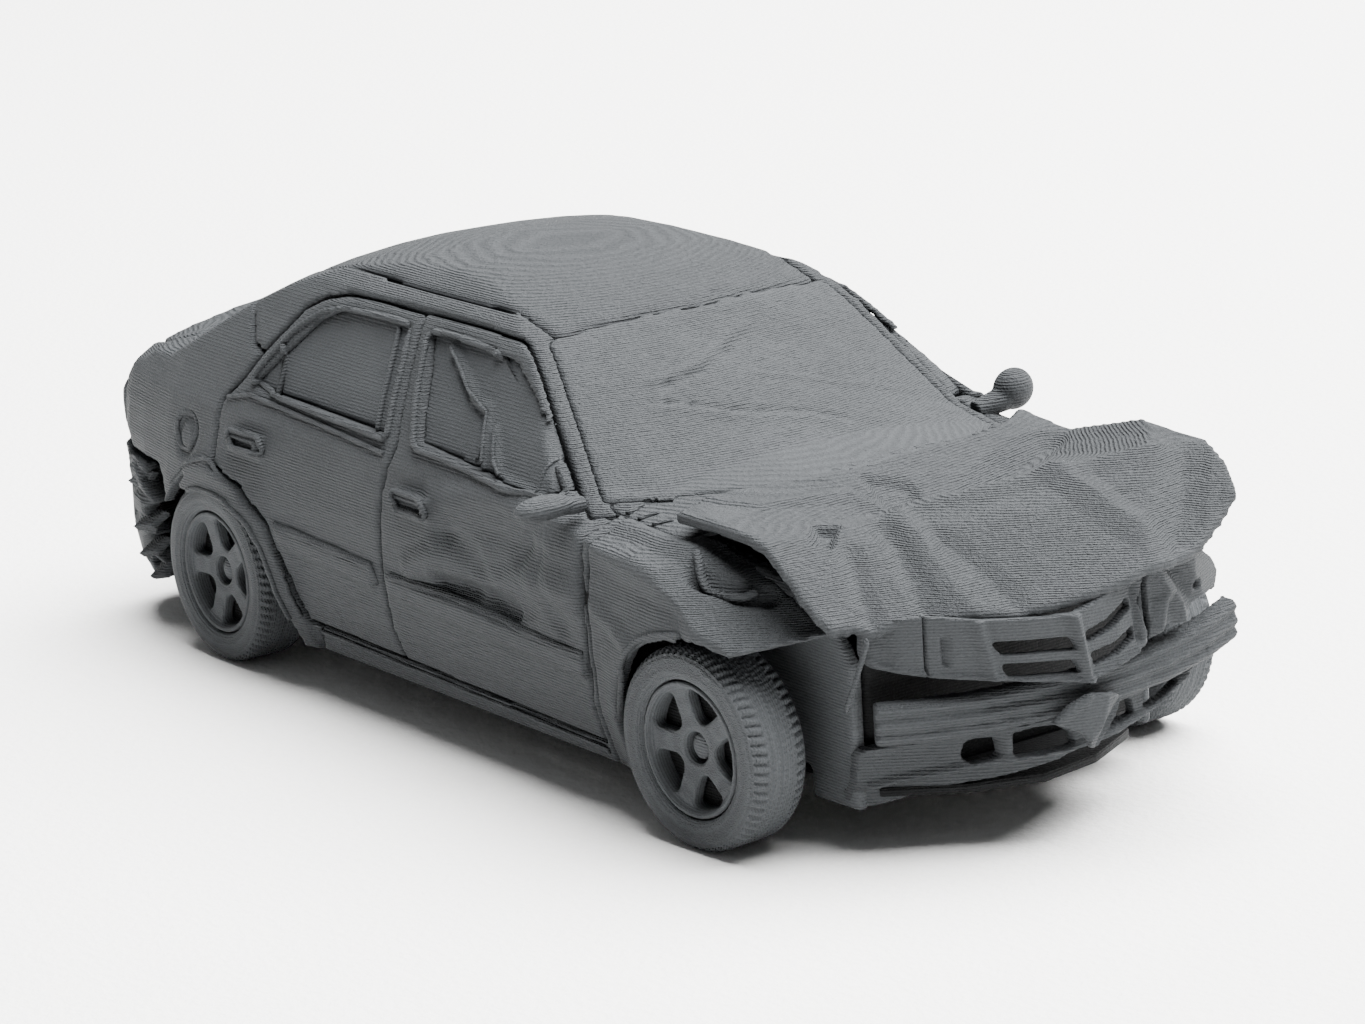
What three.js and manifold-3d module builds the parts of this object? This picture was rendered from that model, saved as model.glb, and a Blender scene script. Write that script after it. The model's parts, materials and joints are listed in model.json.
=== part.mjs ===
// A crashed four-door saloon as a small printed display model on four turning wheels.
// Millimetres. +X is the front, +Y the car's left, +Z up. The tyres stand on z = GROUND.

import * as THREE from "three";
import { mergeVertices } from "three/addons/utils/BufferGeometryUtils.js";
import Module from "manifold-3d";

const wasm = await Module();
wasm.setup();

// Driving dimensions

const WHEELBASE = 61;
const GROUND = 0.5;
const HALF_WIDTH = 20.4;
const ROOF_HEIGHT = 33;
const BELT_HEIGHT = 21.6;
const SILL_HEIGHT = 3.7;
const TAIL_OVERHANG = 20.5;
const PANEL = 1.0;
const PANEL_GAP = 0.3;
const SEAM = 0.1;
const SEAT_GAP = 0.08;
const PANE_RECESS = 0.4;
const PANE_THICKNESS = 0.7;
const TRIM_PROUD = 0.35;
const POST_DEPTH = 1.2;

const TYRE_RADIUS = 7.1;
const TYRE_WIDTH = 4.9;
const RIM_RADIUS = 4.75;
const RIM_WALL = 0.6;
const RIM_FACE_THICKNESS = 1.1;
const SPOKES = 5;
const SPOKE_WIDTH = 1.65;
const HUB_RADIUS = 2.0;
const PIN_RADIUS = 0.85;
const PIN_CLEARANCE = 0.25;
const WHEEL_PLANE = 18.1;
const REAR_AXLE_BACK = 0.8;
const FRONT_AXLE_BACK = 0.5;
const WHEEL_STEPS = 36;
const STEER_ANGLE = 4;
const ARCH_CLEARANCE = 1.1;
const ARCH_FLARE = 0.65;
const FLARE_REACH = 3;
const A_PILLAR = 1.5;
const AXLE_BEAM_RADIUS = 1.3;
const KNUCKLE_RADIUS = 1.4;

const FLOOR_HEIGHT = 4.3;
const FLOOR_THICKNESS = 1.0;

// Places that follow from the driving dimensions

const REAR = 0;
const FRONT = REAR + WHEELBASE;
const TAIL = REAR - TAIL_OVERHANG;
const REAR_AXLE = REAR - REAR_AXLE_BACK;
const FRONT_AXLE = FRONT - FRONT_AXLE_BACK;
const AXLE_HEIGHT = GROUND + TYRE_RADIUS * Math.cos(Math.PI / WHEEL_STEPS);
const ARCH_RADIUS = TYRE_RADIUS + ARCH_CLEARANCE;
const TYRE_FACE = WHEEL_PLANE + TYRE_WIDTH / 2;
const WELL_DEPTH = TYRE_FACE + 0.15;
const COWL = FRONT - 12;
const DOOR_SPLIT = REAR + 24;
const DOOR_FRONT = FRONT - 11.6;
const DOOR_REAR = REAR + 0.5;
const DOOR_BOTTOM = SILL_HEIGHT + 2.2;
const RAIL_HEIGHT = ROOF_HEIGHT - 3;
const GLASS_HEIGHT = RAIL_HEIGHT - BELT_HEIGHT;
const ROOF_INSET = 9;
const NOSE_REACH = 10.5;
const RIGHT = -1;
const LEFT = 1;

// The car's side from the sill up: height, and how far it stands inside the widest line.
const SIDE_SHAPE = [
  { z: SILL_HEIGHT, inset: 1.9 },
  { z: SILL_HEIGHT + 1.7, inset: 1.4 },
  { z: SILL_HEIGHT + 4.3, inset: 0.6 },
  { z: SILL_HEIGHT + 8.3, inset: 0.1 },
  { z: SILL_HEIGHT + 10.4, inset: 0.0 },
  { z: SILL_HEIGHT + 12.3, inset: 0.0 },
  { z: BELT_HEIGHT - 2.8, inset: 0.4 },
  { z: BELT_HEIGHT - 1.1, inset: 0.9 },
  { z: BELT_HEIGHT + 0.3, inset: 1.7 },
  { z: BELT_HEIGHT + GLASS_HEIGHT * 0.31, inset: 3.0 },
  { z: BELT_HEIGHT + GLASS_HEIGHT * 0.62, inset: 4.7 },
  { z: BELT_HEIGHT + GLASS_HEIGHT * 0.905, inset: ROOF_INSET - 2.8 },
  { z: RAIL_HEIGHT + 0.5, inset: ROOF_INSET - 1.7 },
  { z: RAIL_HEIGHT + 1.5, inset: ROOF_INSET },
  { z: ROOF_HEIGHT + 1.5, inset: ROOF_INSET + 5.5 },
];

// The plan: stations from tail to nose, and how far the side draws in there.
const PLAN_SHAPE = [
  { x: TAIL, inset: 5.2 },
  { x: TAIL + 0.9, inset: 3.7 },
  { x: TAIL + 2.4, inset: 2.6 },
  { x: TAIL + 5, inset: 1.7 },
  { x: TAIL + 8.5, inset: 1.1 },
  { x: REAR - 7, inset: 0.4 },
  { x: REAR + 5, inset: 0 },
  { x: FRONT - 6, inset: 0 },
  { x: FRONT + 1, inset: 0.3 },
  { x: FRONT + 4.5, inset: 0.9 },
  { x: FRONT + 7, inset: 2.2 },
  { x: FRONT + NOSE_REACH, inset: 4.6 },
];

// The middle line of the top from tail to nose.
const TOP_SHAPE = [
  { x: TAIL - 3, z: BELT_HEIGHT - 3 },
  { x: TAIL, z: BELT_HEIGHT + 0.2 },
  { x: TAIL + 1.5, z: BELT_HEIGHT + 2.0 },
  { x: TAIL + 4.5, z: BELT_HEIGHT + 2.8 },
  { x: REAR - 13, z: BELT_HEIGHT + 2.7 },
  { x: REAR - 1, z: ROOF_HEIGHT - 3.3 },
  { x: REAR + 3, z: ROOF_HEIGHT - 1.9 },
  { x: REAR + 8, z: ROOF_HEIGHT - 0.8 },
  { x: REAR + 14, z: ROOF_HEIGHT - 0.2 },
  { x: REAR + 20, z: ROOF_HEIGHT },
  { x: FRONT - 35, z: ROOF_HEIGHT - 0.2 },
  { x: FRONT - 30, z: ROOF_HEIGHT - 0.8 },
  { x: FRONT - 26, z: ROOF_HEIGHT - 1.8 },
  { x: FRONT - 24, z: ROOF_HEIGHT - 2.6 },
  { x: COWL - 0.2, z: BELT_HEIGHT + 0.9 },
  { x: FRONT - 9, z: BELT_HEIGHT + 0.6 },
  { x: FRONT, z: BELT_HEIGHT },
  { x: FRONT + 6, z: BELT_HEIGHT - 2 },
  { x: FRONT + 11, z: BELT_HEIGHT - 4.6 },
];
const CROWN = 0.006;
const PLAN_CURVE = 0.0003;
const STATION_STEP = 3;
const SECTION_COLUMNS = [-24, -19, -15.5, -12, -8, -4, 0, 4, 8, 12, 15.5, 19, 24];

// Straight interpolation in a table, by its column names.
function follow(table, from, to, value) {
  const after = table.findIndex((row) => row[from] >= value);
  if (after === 0) return table[0][to];
  if (after < 0) return table[table.length - 1][to];
  const a = table[after - 1];
  const b = table[after];
  const share = (value - a[from]) / (b[from] - a[from]);
  return a[to] + share * (b[to] - a[to]);
}

// Evenly spaced values from one end to the other, with the table's own places kept.
function stations(table, low, high, step) {
  const kept = table.map((row) => row.x).filter((x) => x > low && x < high);
  const ends = [low, ...kept, high];
  const all = [];
  ends.slice(1).forEach((end, i) => {
    const start = ends[i];
    const count = Math.max(1, Math.round((end - start) / step));
    for (let k = 0; k < count; k++) all.push(start + ((end - start) * k) / count);
  });
  return [...all, high];
}

// A closed solid from points and triangles, with its faces turned outwards.
function solidOf(points, triangles) {
  const build = (triVerts) =>
    new wasm.Manifold(new wasm.Mesh({ numProp: 3, vertProperties: new Float32Array(points.flat()), triVerts }));
  const made = build(new Uint32Array(triangles.flat()));
  if (made.volume() > 0) return made;
  return build(new Uint32Array(triangles.flatMap(([a, b, c]) => [a, c, b])));
}

// A solid from a three.js geometry.
function fromGeometry(geometry) {
  const bare = new THREE.BufferGeometry().setAttribute("position", geometry.getAttribute("position"));
  if (geometry.index) bare.setIndex(geometry.index);
  const merged = mergeVertices(bare, 1e-4);
  const mesh = new wasm.Mesh({
    numProp: 3,
    vertProperties: new Float32Array(merged.attributes.position.array),
    triVerts: new Uint32Array(merged.index.array),
  });
  return new wasm.Manifold(mesh);
}

// A closed skin over like rings of points, with both ends capped.
function loft(rings) {
  const size = rings[0].length;
  const triangles = [];
  for (let r = 0; r + 1 < rings.length; r++) {
    for (let k = 0; k < size; k++) {
      const a = r * size + k;
      const b = r * size + ((k + 1) % size);
      triangles.push([a, b, b + size], [a, b + size, a + size]);
    }
  }
  const flat = flatten(rings[0]);
  const cap = THREE.ShapeUtils.triangulateShape(flat, []);
  const capArea = cap.reduce((sum, [i, j, k]) => sum + THREE.ShapeUtils.area([flat[i], flat[j], flat[k]]), 0);
  const follows = capArea * THREE.ShapeUtils.area(flat) > 0;
  const last = (rings.length - 1) * size;
  cap.forEach(([i, j, k]) => {
    const [p, q] = follows ? [k, j] : [j, k];
    triangles.push([i, p, q], [i + last, q + last, p + last]);
  });
  return solidOf(rings.flat(), triangles);
}

// A flat ring's points in its own plane.
function flatten(ring) {
  const points = ring.map((p) => new THREE.Vector3(...p));
  const normal = new THREE.Vector3();
  points.forEach((p, i) => normal.add(new THREE.Vector3().crossVectors(p, points[(i + 1) % points.length])));
  const turn = new THREE.Quaternion().setFromUnitVectors(normal.normalize(), new THREE.Vector3(0, 0, 1));
  return points.map((p) => p.applyQuaternion(turn)).map((p) => new THREE.Vector2(p.x, p.y));
}

// A prism that runs across the car, from an outline of [x, z] points.
function prismY(outline, low, high) {
  const shape = new THREE.Shape(outline.map(([x, z]) => new THREE.Vector2(x, z)));
  const geometry = new THREE.ExtrudeGeometry(shape, { depth: high - low, bevelEnabled: false });
  geometry.rotateX(Math.PI / 2).translate(0, high, 0);
  return fromGeometry(geometry);
}

// A prism that stands up, from an outline of [x, y] points.
function prismZ(outline, low, high) {
  const shape = new THREE.Shape(outline.map(([x, y]) => new THREE.Vector2(x, y)));
  const geometry = new THREE.ExtrudeGeometry(shape, { depth: high - low, bevelEnabled: false });
  geometry.translate(0, 0, low);
  return fromGeometry(geometry);
}

// A box from its lowest and highest corners.
function block(low, high) {
  const size = high.map((v, i) => v - low[i]);
  const middle = high.map((v, i) => (v + low[i]) / 2);
  return fromGeometry(new THREE.BoxGeometry(...size).translate(...middle));
}

// A round bar between two points.
function bar(from, to, radius, steps = 16) {
  const a = new THREE.Vector3(...from);
  const b = new THREE.Vector3(...to);
  const along = b.clone().sub(a);
  const geometry = new THREE.CylinderGeometry(radius, radius, along.length(), steps);
  geometry.applyQuaternion(
    new THREE.Quaternion().setFromUnitVectors(new THREE.Vector3(0, 1, 0), along.clone().normalize()),
  );
  geometry.translate(...a.add(b).multiplyScalar(0.5));
  return fromGeometry(geometry);
}

// A part of a circle in an outline, from one angle to the other in degrees.
function arc(cx, cz, rx, rz, from, to, steps) {
  return Array.from({ length: steps + 1 }, (_, i) => {
    const angle = THREE.MathUtils.degToRad(from + ((to - from) * i) / steps);
    return [cx + rx * Math.cos(angle), cz + rz * Math.sin(angle)];
  });
}

const archStations = [REAR, FRONT].flatMap((axle) => [-10, -8.5, -5, 0, 5, 8.5].map((dx) => ({ x: axle + dx })));

// The whole body as if it were one lump, grown or shrunk by an offset, an inner one open below and in front.
function lump(offset) {
  const opened = offset < 0 ? 1 : 0;
  const places = [...PLAN_SHAPE, ...archStations].sort((a, b) => a.x - b.x);
  const xs = stations(places, TAIL - offset, FRONT + NOSE_REACH + opened, STATION_STEP);
  const rings = xs.map((x) => {
    const drawn = follow(PLAN_SHAPE, "x", "inset", x);
    const half = SIDE_SHAPE.map(({ z, inset }, i) => {
      const y = Math.max(0.5, HALF_WIDTH - inset - drawn + offset + flare(x, z));
      return [y, i === 0 ? z - opened : z];
    });
    const right = half.map(([y, z]) => [x, -y, z]);
    const left = half.map(([y, z]) => [x, y, z]).reverse();
    return [...right, ...left];
  });
  return loft(rings).intersect(topSolid(offset));
}

// How far the side swells out round a wheel arch.
function flare(x, z) {
  const near = Math.min(Math.hypot(x - REAR, z - AXLE_HEIGHT), Math.hypot(x - FRONT, z - AXLE_HEIGHT));
  const share = THREE.MathUtils.clamp((ARCH_RADIUS + FLARE_REACH - near) / FLARE_REACH, 0, 1);
  return ARCH_FLARE * share * share * (3 - 2 * share);
}

// All that lies under the line of the boot, roof and bonnet.
function topSolid(offset) {
  const xs = stations(TOP_SHAPE, TAIL - 4, FRONT + NOSE_REACH + 2, STATION_STEP);
  const rings = xs.map((x) => {
    const upper = SECTION_COLUMNS.map((y) => [x, y, topHeight(x, y) + offset * topStretch(x)]);
    return [[x, SECTION_COLUMNS.at(-1), 0], [x, SECTION_COLUMNS[0], 0], ...upper];
  });
  return loft(rings);
}

function topHeight(x, y) {
  const middle = REAR + 20;
  const along = middle + (x - middle) * (1 + PLAN_CURVE * y * y);
  return follow(TOP_SHAPE, "x", "z", along) - CROWN * y * y;
}

// How much further a sloping surface moves straight up or down for the same thickness.
function topStretch(x) {
  const slope = follow(TOP_SHAPE, "x", "z", x + 1) - follow(TOP_SHAPE, "x", "z", x - 1);
  return Math.hypot(1, slope / 2);
}

const outer = lump(0);
const skin = outer.subtract(lump(-PANEL));
const paneSkin = lump(-PANE_RECESS).subtract(lump(-PANE_RECESS - PANE_THICKNESS));
const trimSkin = lump(TRIM_PROUD).subtract(lump(-PANEL / 2));
const postSkin = lump(-PANEL - PANEL_GAP).subtract(lump(-PANEL - PANEL_GAP - POST_DEPTH));
const frameSkin = outer.subtract(lump(-PANEL - PANEL_GAP - POST_DEPTH));

// An outline moved outwards all round, for the cut that leaves a gap beside it.
function grow(outline, distance) {
  const points = outline.map(([x, z]) => new THREE.Vector2(x, z));
  const sign = THREE.ShapeUtils.isClockWise(points) ? 1 : -1;
  return points.map((p, i) => {
    const before = points.at(i - 1);
    const next = points[(i + 1) % points.length];
    const a = p.clone().sub(before).normalize();
    const b = next.clone().sub(p).normalize();
    const normal = new THREE.Vector2(-(a.y + b.y), a.x + b.x).normalize();
    const reach = distance / Math.max(0.5, Math.sqrt((1 + a.dot(b)) / 2));
    return [p.x + sign * normal.x * reach, p.y + sign * normal.y * reach];
  });
}

// The band of the car that a side outline cuts, on one side only.
function sideCut(outline, side) {
  const inner = 9;
  const reach = HALF_WIDTH + 3;
  return side === RIGHT ? prismY(outline, -reach, -inner) : prismY(outline, inner, reach);
}

// Outlines of the side, as [x, z] points

const frontDoor = [
  [DOOR_SPLIT + 0.2, DOOR_BOTTOM],
  [DOOR_FRONT - 0.4, DOOR_BOTTOM - 0.6],
  [DOOR_FRONT, BELT_HEIGHT - 5.5],
  [DOOR_FRONT - 0.9, BELT_HEIGHT - 1.5],
  [DOOR_FRONT - 2.3, BELT_HEIGHT + 0.4],
  [DOOR_FRONT - 7.4, BELT_HEIGHT + GLASS_HEIGHT * 0.5],
  [DOOR_FRONT - 12.6, RAIL_HEIGHT - 0.9],
  [DOOR_FRONT - 15.5, RAIL_HEIGHT - 0.2],
  [DOOR_SPLIT + 4, RAIL_HEIGHT],
  [DOOR_SPLIT - 2.6, RAIL_HEIGHT],
  [DOOR_SPLIT - 1.4, RAIL_HEIGHT - GLASS_HEIGHT * 0.43],
  [DOOR_SPLIT + 0.5, BELT_HEIGHT],
  [DOOR_SPLIT, BELT_HEIGHT - 4],
  [DOOR_SPLIT - 0.3, BELT_HEIGHT - 12],
];
const rearDoor = [
  [REAR + 11.2, DOOR_BOTTOM + 0.2],
  [DOOR_SPLIT - 0.1, DOOR_BOTTOM],
  [DOOR_SPLIT - 0.6, BELT_HEIGHT - 12],
  [DOOR_SPLIT - 0.3, BELT_HEIGHT - 4],
  [DOOR_SPLIT + 0.2, BELT_HEIGHT],
  [DOOR_SPLIT - 1.7, RAIL_HEIGHT - GLASS_HEIGHT * 0.43],
  [DOOR_SPLIT - 2.9, RAIL_HEIGHT],
  [REAR + 14.5, RAIL_HEIGHT - 0.1],
  [REAR + 10.8, RAIL_HEIGHT - 0.3],
  [REAR + 8.4, RAIL_HEIGHT - 0.8],
  [REAR + 6.5, RAIL_HEIGHT - 1.7],
  [REAR + 3.7, BELT_HEIGHT + GLASS_HEIGHT * 0.42],
  [REAR + 2.0, BELT_HEIGHT + 1],
  [DOOR_REAR, BELT_HEIGHT - 0.4],
  [DOOR_REAR, BELT_HEIGHT - 2],
  [REAR + 1.0, BELT_HEIGHT - 5],
  [REAR + 4.9, BELT_HEIGHT - 6.0],
  [REAR + 8.2, BELT_HEIGHT - 8.4],
  [REAR + 10.3, BELT_HEIGHT - 12],
];
const frontWindow = [
  [DOOR_SPLIT + 2.9, BELT_HEIGHT + 0.7],
  [DOOR_FRONT - 6.8, BELT_HEIGHT - 0.4],
  [DOOR_FRONT - 4.2, BELT_HEIGHT + 0.4],
  [DOOR_FRONT - 7.6, BELT_HEIGHT + GLASS_HEIGHT * 0.36],
  [DOOR_FRONT - 11.5, RAIL_HEIGHT - GLASS_HEIGHT * 0.345],
  [DOOR_FRONT - 15.0, RAIL_HEIGHT - 1.3],
  [DOOR_SPLIT + 5, RAIL_HEIGHT - 0.8],
  [DOOR_SPLIT - 1.1, RAIL_HEIGHT - 0.8],
  [DOOR_SPLIT + 0.8, RAIL_HEIGHT - GLASS_HEIGHT * 0.46],
];
const rearWindow = [
  [REAR + 3.6, BELT_HEIGHT + 1.0],
  [DOOR_SPLIT - 1.6, BELT_HEIGHT + 0.5],
  [DOOR_SPLIT - 2.7, RAIL_HEIGHT - GLASS_HEIGHT * 0.405],
  [DOOR_SPLIT - 3.7, RAIL_HEIGHT - 0.8],
  [REAR + 15.5, RAIL_HEIGHT - 0.8],
  [REAR + 11.1, RAIL_HEIGHT - 1.1],
  [REAR + 8.7, RAIL_HEIGHT - 2.1],
  [REAR + 5.7, BELT_HEIGHT + GLASS_HEIGHT * 0.39],
];
const sillStrip = [
  [REAR + 9, SILL_HEIGHT - 1],
  [FRONT - 9.5, SILL_HEIGHT - 1],
  [FRONT - 9.5, DOOR_BOTTOM + 1],
  [REAR + 9, DOOR_BOTTOM + 1],
];
const archTop = 14.3;
const rearArch = [
  [REAR - ARCH_RADIUS - 0.3, 0],
  ...arc(REAR, AXLE_HEIGHT, -ARCH_RADIUS - 0.3, archTop - AXLE_HEIGHT, 0, 180, 14),
  [REAR + ARCH_RADIUS + 2.6, 0],
];
const frontArch = [
  [FRONT - ARCH_RADIUS - 0.3, 0],
  ...arc(FRONT, AXLE_HEIGHT, -ARCH_RADIUS - 0.3, archTop + 0.9 - AXLE_HEIGHT, 0, 90, 7),
  [FRONT + 4.4, BELT_HEIGHT - 6.6],
  [FRONT + 10.5, BELT_HEIGHT - 4.9],
  [FRONT + 14, BELT_HEIGHT - 5],
  [FRONT + 14, 0],
];
const quarterEdge = REAR + 10.9;
const fenderRear = DOOR_FRONT + 0.7;

// Outlines of the top, as [x, y] points

const roofRear = REAR + 0.5;
const roofFront = FRONT - 24.5;
const roofHalf = HALF_WIDTH - ROOF_INSET;
const screenTop = roofHalf + 0.8;
const screenBase = 16.2;
const roofTop = [
  [roofRear - 1.4, -roofHalf + 1.5],
  [REAR + 6, -roofHalf - 0.1],
  [REAR + 20, -roofHalf - 0.4],
  [roofFront - 1.5, -roofHalf - 0.2],
  [roofFront, 0],
  [roofFront - 1.5, roofHalf + 0.2],
  [REAR + 20, roofHalf + 0.4],
  [REAR + 6, roofHalf + 0.1],
  [roofRear - 1.4, roofHalf - 1.5],
  [roofRear - 2, 0],
];
// The line where the glass meets the cowl and the crumpled bonnet, from right to left
const screenFront = [
  [COWL - 2.2, -screenBase],
  [COWL + 1.6, -10.9],
  [COWL + 5.6, -6.2],
  [COWL + 6.6, -2.3],
  [COWL + 6.2, 2.8],
  [COWL + 5.2, 8.8],
  [COWL + 0.2, screenBase],
];
const windscreenTop = [
  [roofFront + SEAM, 0],
  [roofFront - 1.5 + SEAM, -screenTop],
  ...screenFront,
  [roofFront - 1.5 + SEAM, screenTop],
];
const backlightTop = [
  [roofRear - 2 - SEAM, 0],
  [roofRear - 1.4 - SEAM, roofHalf - 1.5],
  [REAR - 11.4, screenBase - 2.4],
  [REAR - 12.7, 0],
  [REAR - 11.4, -screenBase + 2.4],
  [roofRear - 1.4 - SEAM, -roofHalf + 1.5],
];
const bootTop = [
  [REAR - 13.0, 0],
  [REAR - 11.8, screenBase - 2.2],
  [REAR - 14, screenBase - 1.2],
  [TAIL + 2.4, screenBase - 2.2],
  [TAIL - 1, screenBase - 3.4],
  [TAIL - 1, -screenBase + 3.4],
  [TAIL + 2.4, -screenBase + 2.2],
  [REAR - 14, -screenBase + 1.2],
  [REAR - 11.8, -screenBase + 2.2],
];

const above = BELT_HEIGHT - 1.6;
const clearAbove = ROOF_HEIGHT + 2;
const topCut = (outline) => prismZ(outline, above, clearAbove);

// The space that a wheel turns in.
function wheelWell(x, side) {
  const inner = WHEEL_PLANE - TYRE_WIDTH / 2 - 1.6;
  return bar([x, side * inner, AXLE_HEIGHT], [x, side * WELL_DEPTH, AXLE_HEIGHT], ARCH_RADIUS, 40);
}
const wells = [REAR, FRONT].flatMap((x) => [wheelWell(x, RIGHT), wheelWell(x, LEFT)]);
const wellsAll = wells.reduce((sum, well) => sum.add(well));

// The pushes that the crash left in the panels: place, reach and how far each moves the metal.
const DENTS = [
  { at: [FRONT - 22, -20.4, 14.6], reach: [6.5, 6, 3.6], push: [0, 1.1, -0.2] },
  { at: [FRONT - 26, -20.4, 18.2], reach: [5, 6, 1.7], push: [0, -0.35, 0.2] },
  { at: [FRONT - 15, -20.4, 17.4], reach: [4.5, 6, 2.4], push: [0, -0.45, 0] },
  { at: [FRONT - 4, -20, 19.5], reach: [6, 6, 3], push: [0, -0.3, 0.5] },
  { at: [FRONT + 3, -18.5, 20.4], reach: [4, 5, 2.6], push: [0.3, 0.4, 0.9] },
  { at: [FRONT + 4.5, -20.4, 17], reach: [3, 6, 1.6], push: [0, 0.8, -0.3] },
  { at: [FRONT + 6, 19.5, 18], reach: [5, 6, 4], push: [-0.5, -1.4, 0.6] },
  { at: [FRONT - 20, 3, 28], reach: [5, 8, 5], push: [-0.2, 0, -0.7] },
  { at: [FRONT - 16, -2, 24.6], reach: [5, 9, 4], push: [-0.1, 0, -0.4] },
  { at: [TAIL + 3, -17.5, 12], reach: [4, 5, 6], push: [0.7, 0.9, 0] },
];

function crumple(x, y, z) {
  const moved = [x, y, z];
  DENTS.forEach(({ at, reach, push }) => {
    const far = Math.hypot((x - at[0]) / reach[0], (y - at[1]) / reach[1], (z - at[2]) / reach[2]);
    if (far >= 1) return;
    const weight = (1 - far * far) ** 2;
    push.forEach((amount, axis) => {
      moved[axis] += amount * weight;
    });
  });
  return moved;
}

// A plate from a grid of points on its upper face.
function plate(grid, drop) {
  const columns = grid[0].length;
  const upper = grid.flat();
  const lower = upper.map(([x, y, z]) => [x + drop[0], y + drop[1], z + drop[2]]);
  const half = upper.length;
  const triangles = [];
  for (let r = 0; r + 1 < grid.length; r++) {
    for (let c = 0; c + 1 < columns; c++) {
      const a = r * columns + c;
      const b = a + columns;
      triangles.push([a, b, b + 1], [a, b + 1, a + 1]);
      triangles.push([a + half, b + half + 1, b + half], [a + half, a + half + 1, b + half + 1]);
    }
  }
  const rim = [];
  for (let c = 0; c + 1 < columns; c++) rim.push(c);
  for (let r = 0; r + 1 < grid.length; r++) rim.push(r * columns + columns - 1);
  for (let c = columns - 1; c > 0; c--) rim.push((grid.length - 1) * columns + c);
  for (let r = grid.length - 1; r > 0; r--) rim.push(r * columns);
  rim.forEach((a, i) => {
    const b = rim[(i + 1) % rim.length];
    triangles.push([a, b, b + half], [a, b + half, a + half]);
  });
  return solidOf([...upper, ...lower], triangles);
}

// A section of [out, up] points carried along a path of [x, y, z] points that runs to the car's left.
function sweep(path, section) {
  const rings = path.map((p, i) => {
    const a = path[Math.max(0, i - 1)];
    const b = path[Math.min(path.length - 1, i + 1)];
    const length = Math.hypot(b[0] - a[0], b[1] - a[1]);
    const out = [(b[1] - a[1]) / length, (a[0] - b[0]) / length];
    return section.map(([o, u]) => [p[0] + out[0] * o, p[1] + out[1] * o, p[2] + u]);
  });
  return loft(rings);
}

// The bonnet's folds from the windscreen to the torn front edge, at seven columns from right to left.
const BONNET_COLUMNS = [-16.5, -11, -5.5, 0, 5.5, 11, 15.5];
const BONNET_FOLDS = [
  { name: "rear edge", x: [-5.5, -6.7, -4.0, -3.4, -4.0, -5.0, -8.0], z: [0.6, 0.8, 1.2, 1.4, 1.4, 1.3, 1.2] },
  { name: "flat", x: [-1, -1.5, -1.5, -1.4, -2, -3, -5.6], z: [0.7, 0.7, 0.7, 0.7, 0.6, 0.7, 0.9] },
  { name: "valley", x: [2, 2, 1.8, 1.4, 1, 0, -2.5], z: [0.6, 0, -0.6, -0.6, -0.5, -0.2, 0.6] },
  { name: "ridge", x: [4.2, 4, 4.3, 6.6, 9, 11, 5], z: [0.2, 0, 0, 0.8, 1.5, 2.3, 2.6] },
  { name: "shoulder", x: [6, 7, 8, 10.5, 12.5, 14, 12], z: [-1.2, -1.2, -0.8, 0, 0.7, 1.4, 2.4] },
  { name: "apron", x: [7.6, 9.5, 11.8, 14, 16, 16.3, 15], z: [-3, -3.1, -2.7, -1.8, -0.8, -0.2, 1.6] },
  { name: "front edge", x: [9.6, 11.8, 15.6, 18.2, 19.2, 18.5, 17.5], z: [-4.6, -4.8, -4.5, -3.6, -2.4, -1.9, 0.4] },
];
const BONNET_PINCH = [0, 0, 0, 0, 0.02, 0.08, 0.17];
const BONNET_FINE = 2;

function bonnetGrid() {
  const rows = BONNET_FOLDS.map((fold, r) =>
    BONNET_COLUMNS.map((y, c) => {
      const drawn = y < 0 ? y * (1 - BONNET_PINCH[r] * 0.3) : y * (1 - BONNET_PINCH[r]);
      return new THREE.Vector3(FRONT + fold.x[c], drawn, BELT_HEIGHT + fold.z[c]);
    }),
  );
  const across = rows.map((row) => {
    const curve = new THREE.CatmullRomCurve3(row, false, "centripetal");
    const steps = (row.length - 1) * BONNET_FINE;
    return Array.from({ length: steps + 1 }, (_, i) => curve.getPoint(i / steps));
  });
  const fine = [];
  across.slice(1).forEach((row, r) => {
    for (let k = 0; k < BONNET_FINE; k++) {
      fine.push(row.map((p, c) => across[r][c].clone().lerp(p, k / BONNET_FINE)));
    }
  });
  fine.push(across.at(-1));
  return fine.map((row) => row.map((p) => [p.x, p.y, p.z]));
}

// Nodes

const car = new THREE.Group();
const paint = { color: 0x73797c, roughness: 0.82, metalness: 0.0 };

function geometryOf(solid) {
  const mesh = solid.getMesh();
  const position = new Float32Array(mesh.numVert * 3);
  for (let i = 0; i < mesh.numVert; i++) {
    position.set(mesh.vertProperties.subarray(i * mesh.numProp, i * mesh.numProp + 3), i * 3);
  }
  return new THREE.BufferGeometry()
    .setAttribute("position", new THREE.BufferAttribute(position, 3))
    .setIndex(new THREE.BufferAttribute(mesh.triVerts, 1));
}

function add(name, solid, look = {}) {
  const mesh = new THREE.Mesh(geometryOf(solid), new THREE.MeshStandardMaterial({ ...paint, ...look }));
  mesh.name = name;
  car.add(mesh);
  return mesh;
}

// A body panel, with the crash's dents pushed into it.
function addPanel(name, solid) {
  const mesh = add(name, solid);
  const position = mesh.geometry.getAttribute("position");
  for (let i = 0; i < position.count; i++) {
    const p = crumple(position.getX(i), position.getY(i), position.getZ(i));
    position.setXYZ(i, ...p);
  }
}

const sideName = (side) => (side === RIGHT ? "right" : "left");

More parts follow.
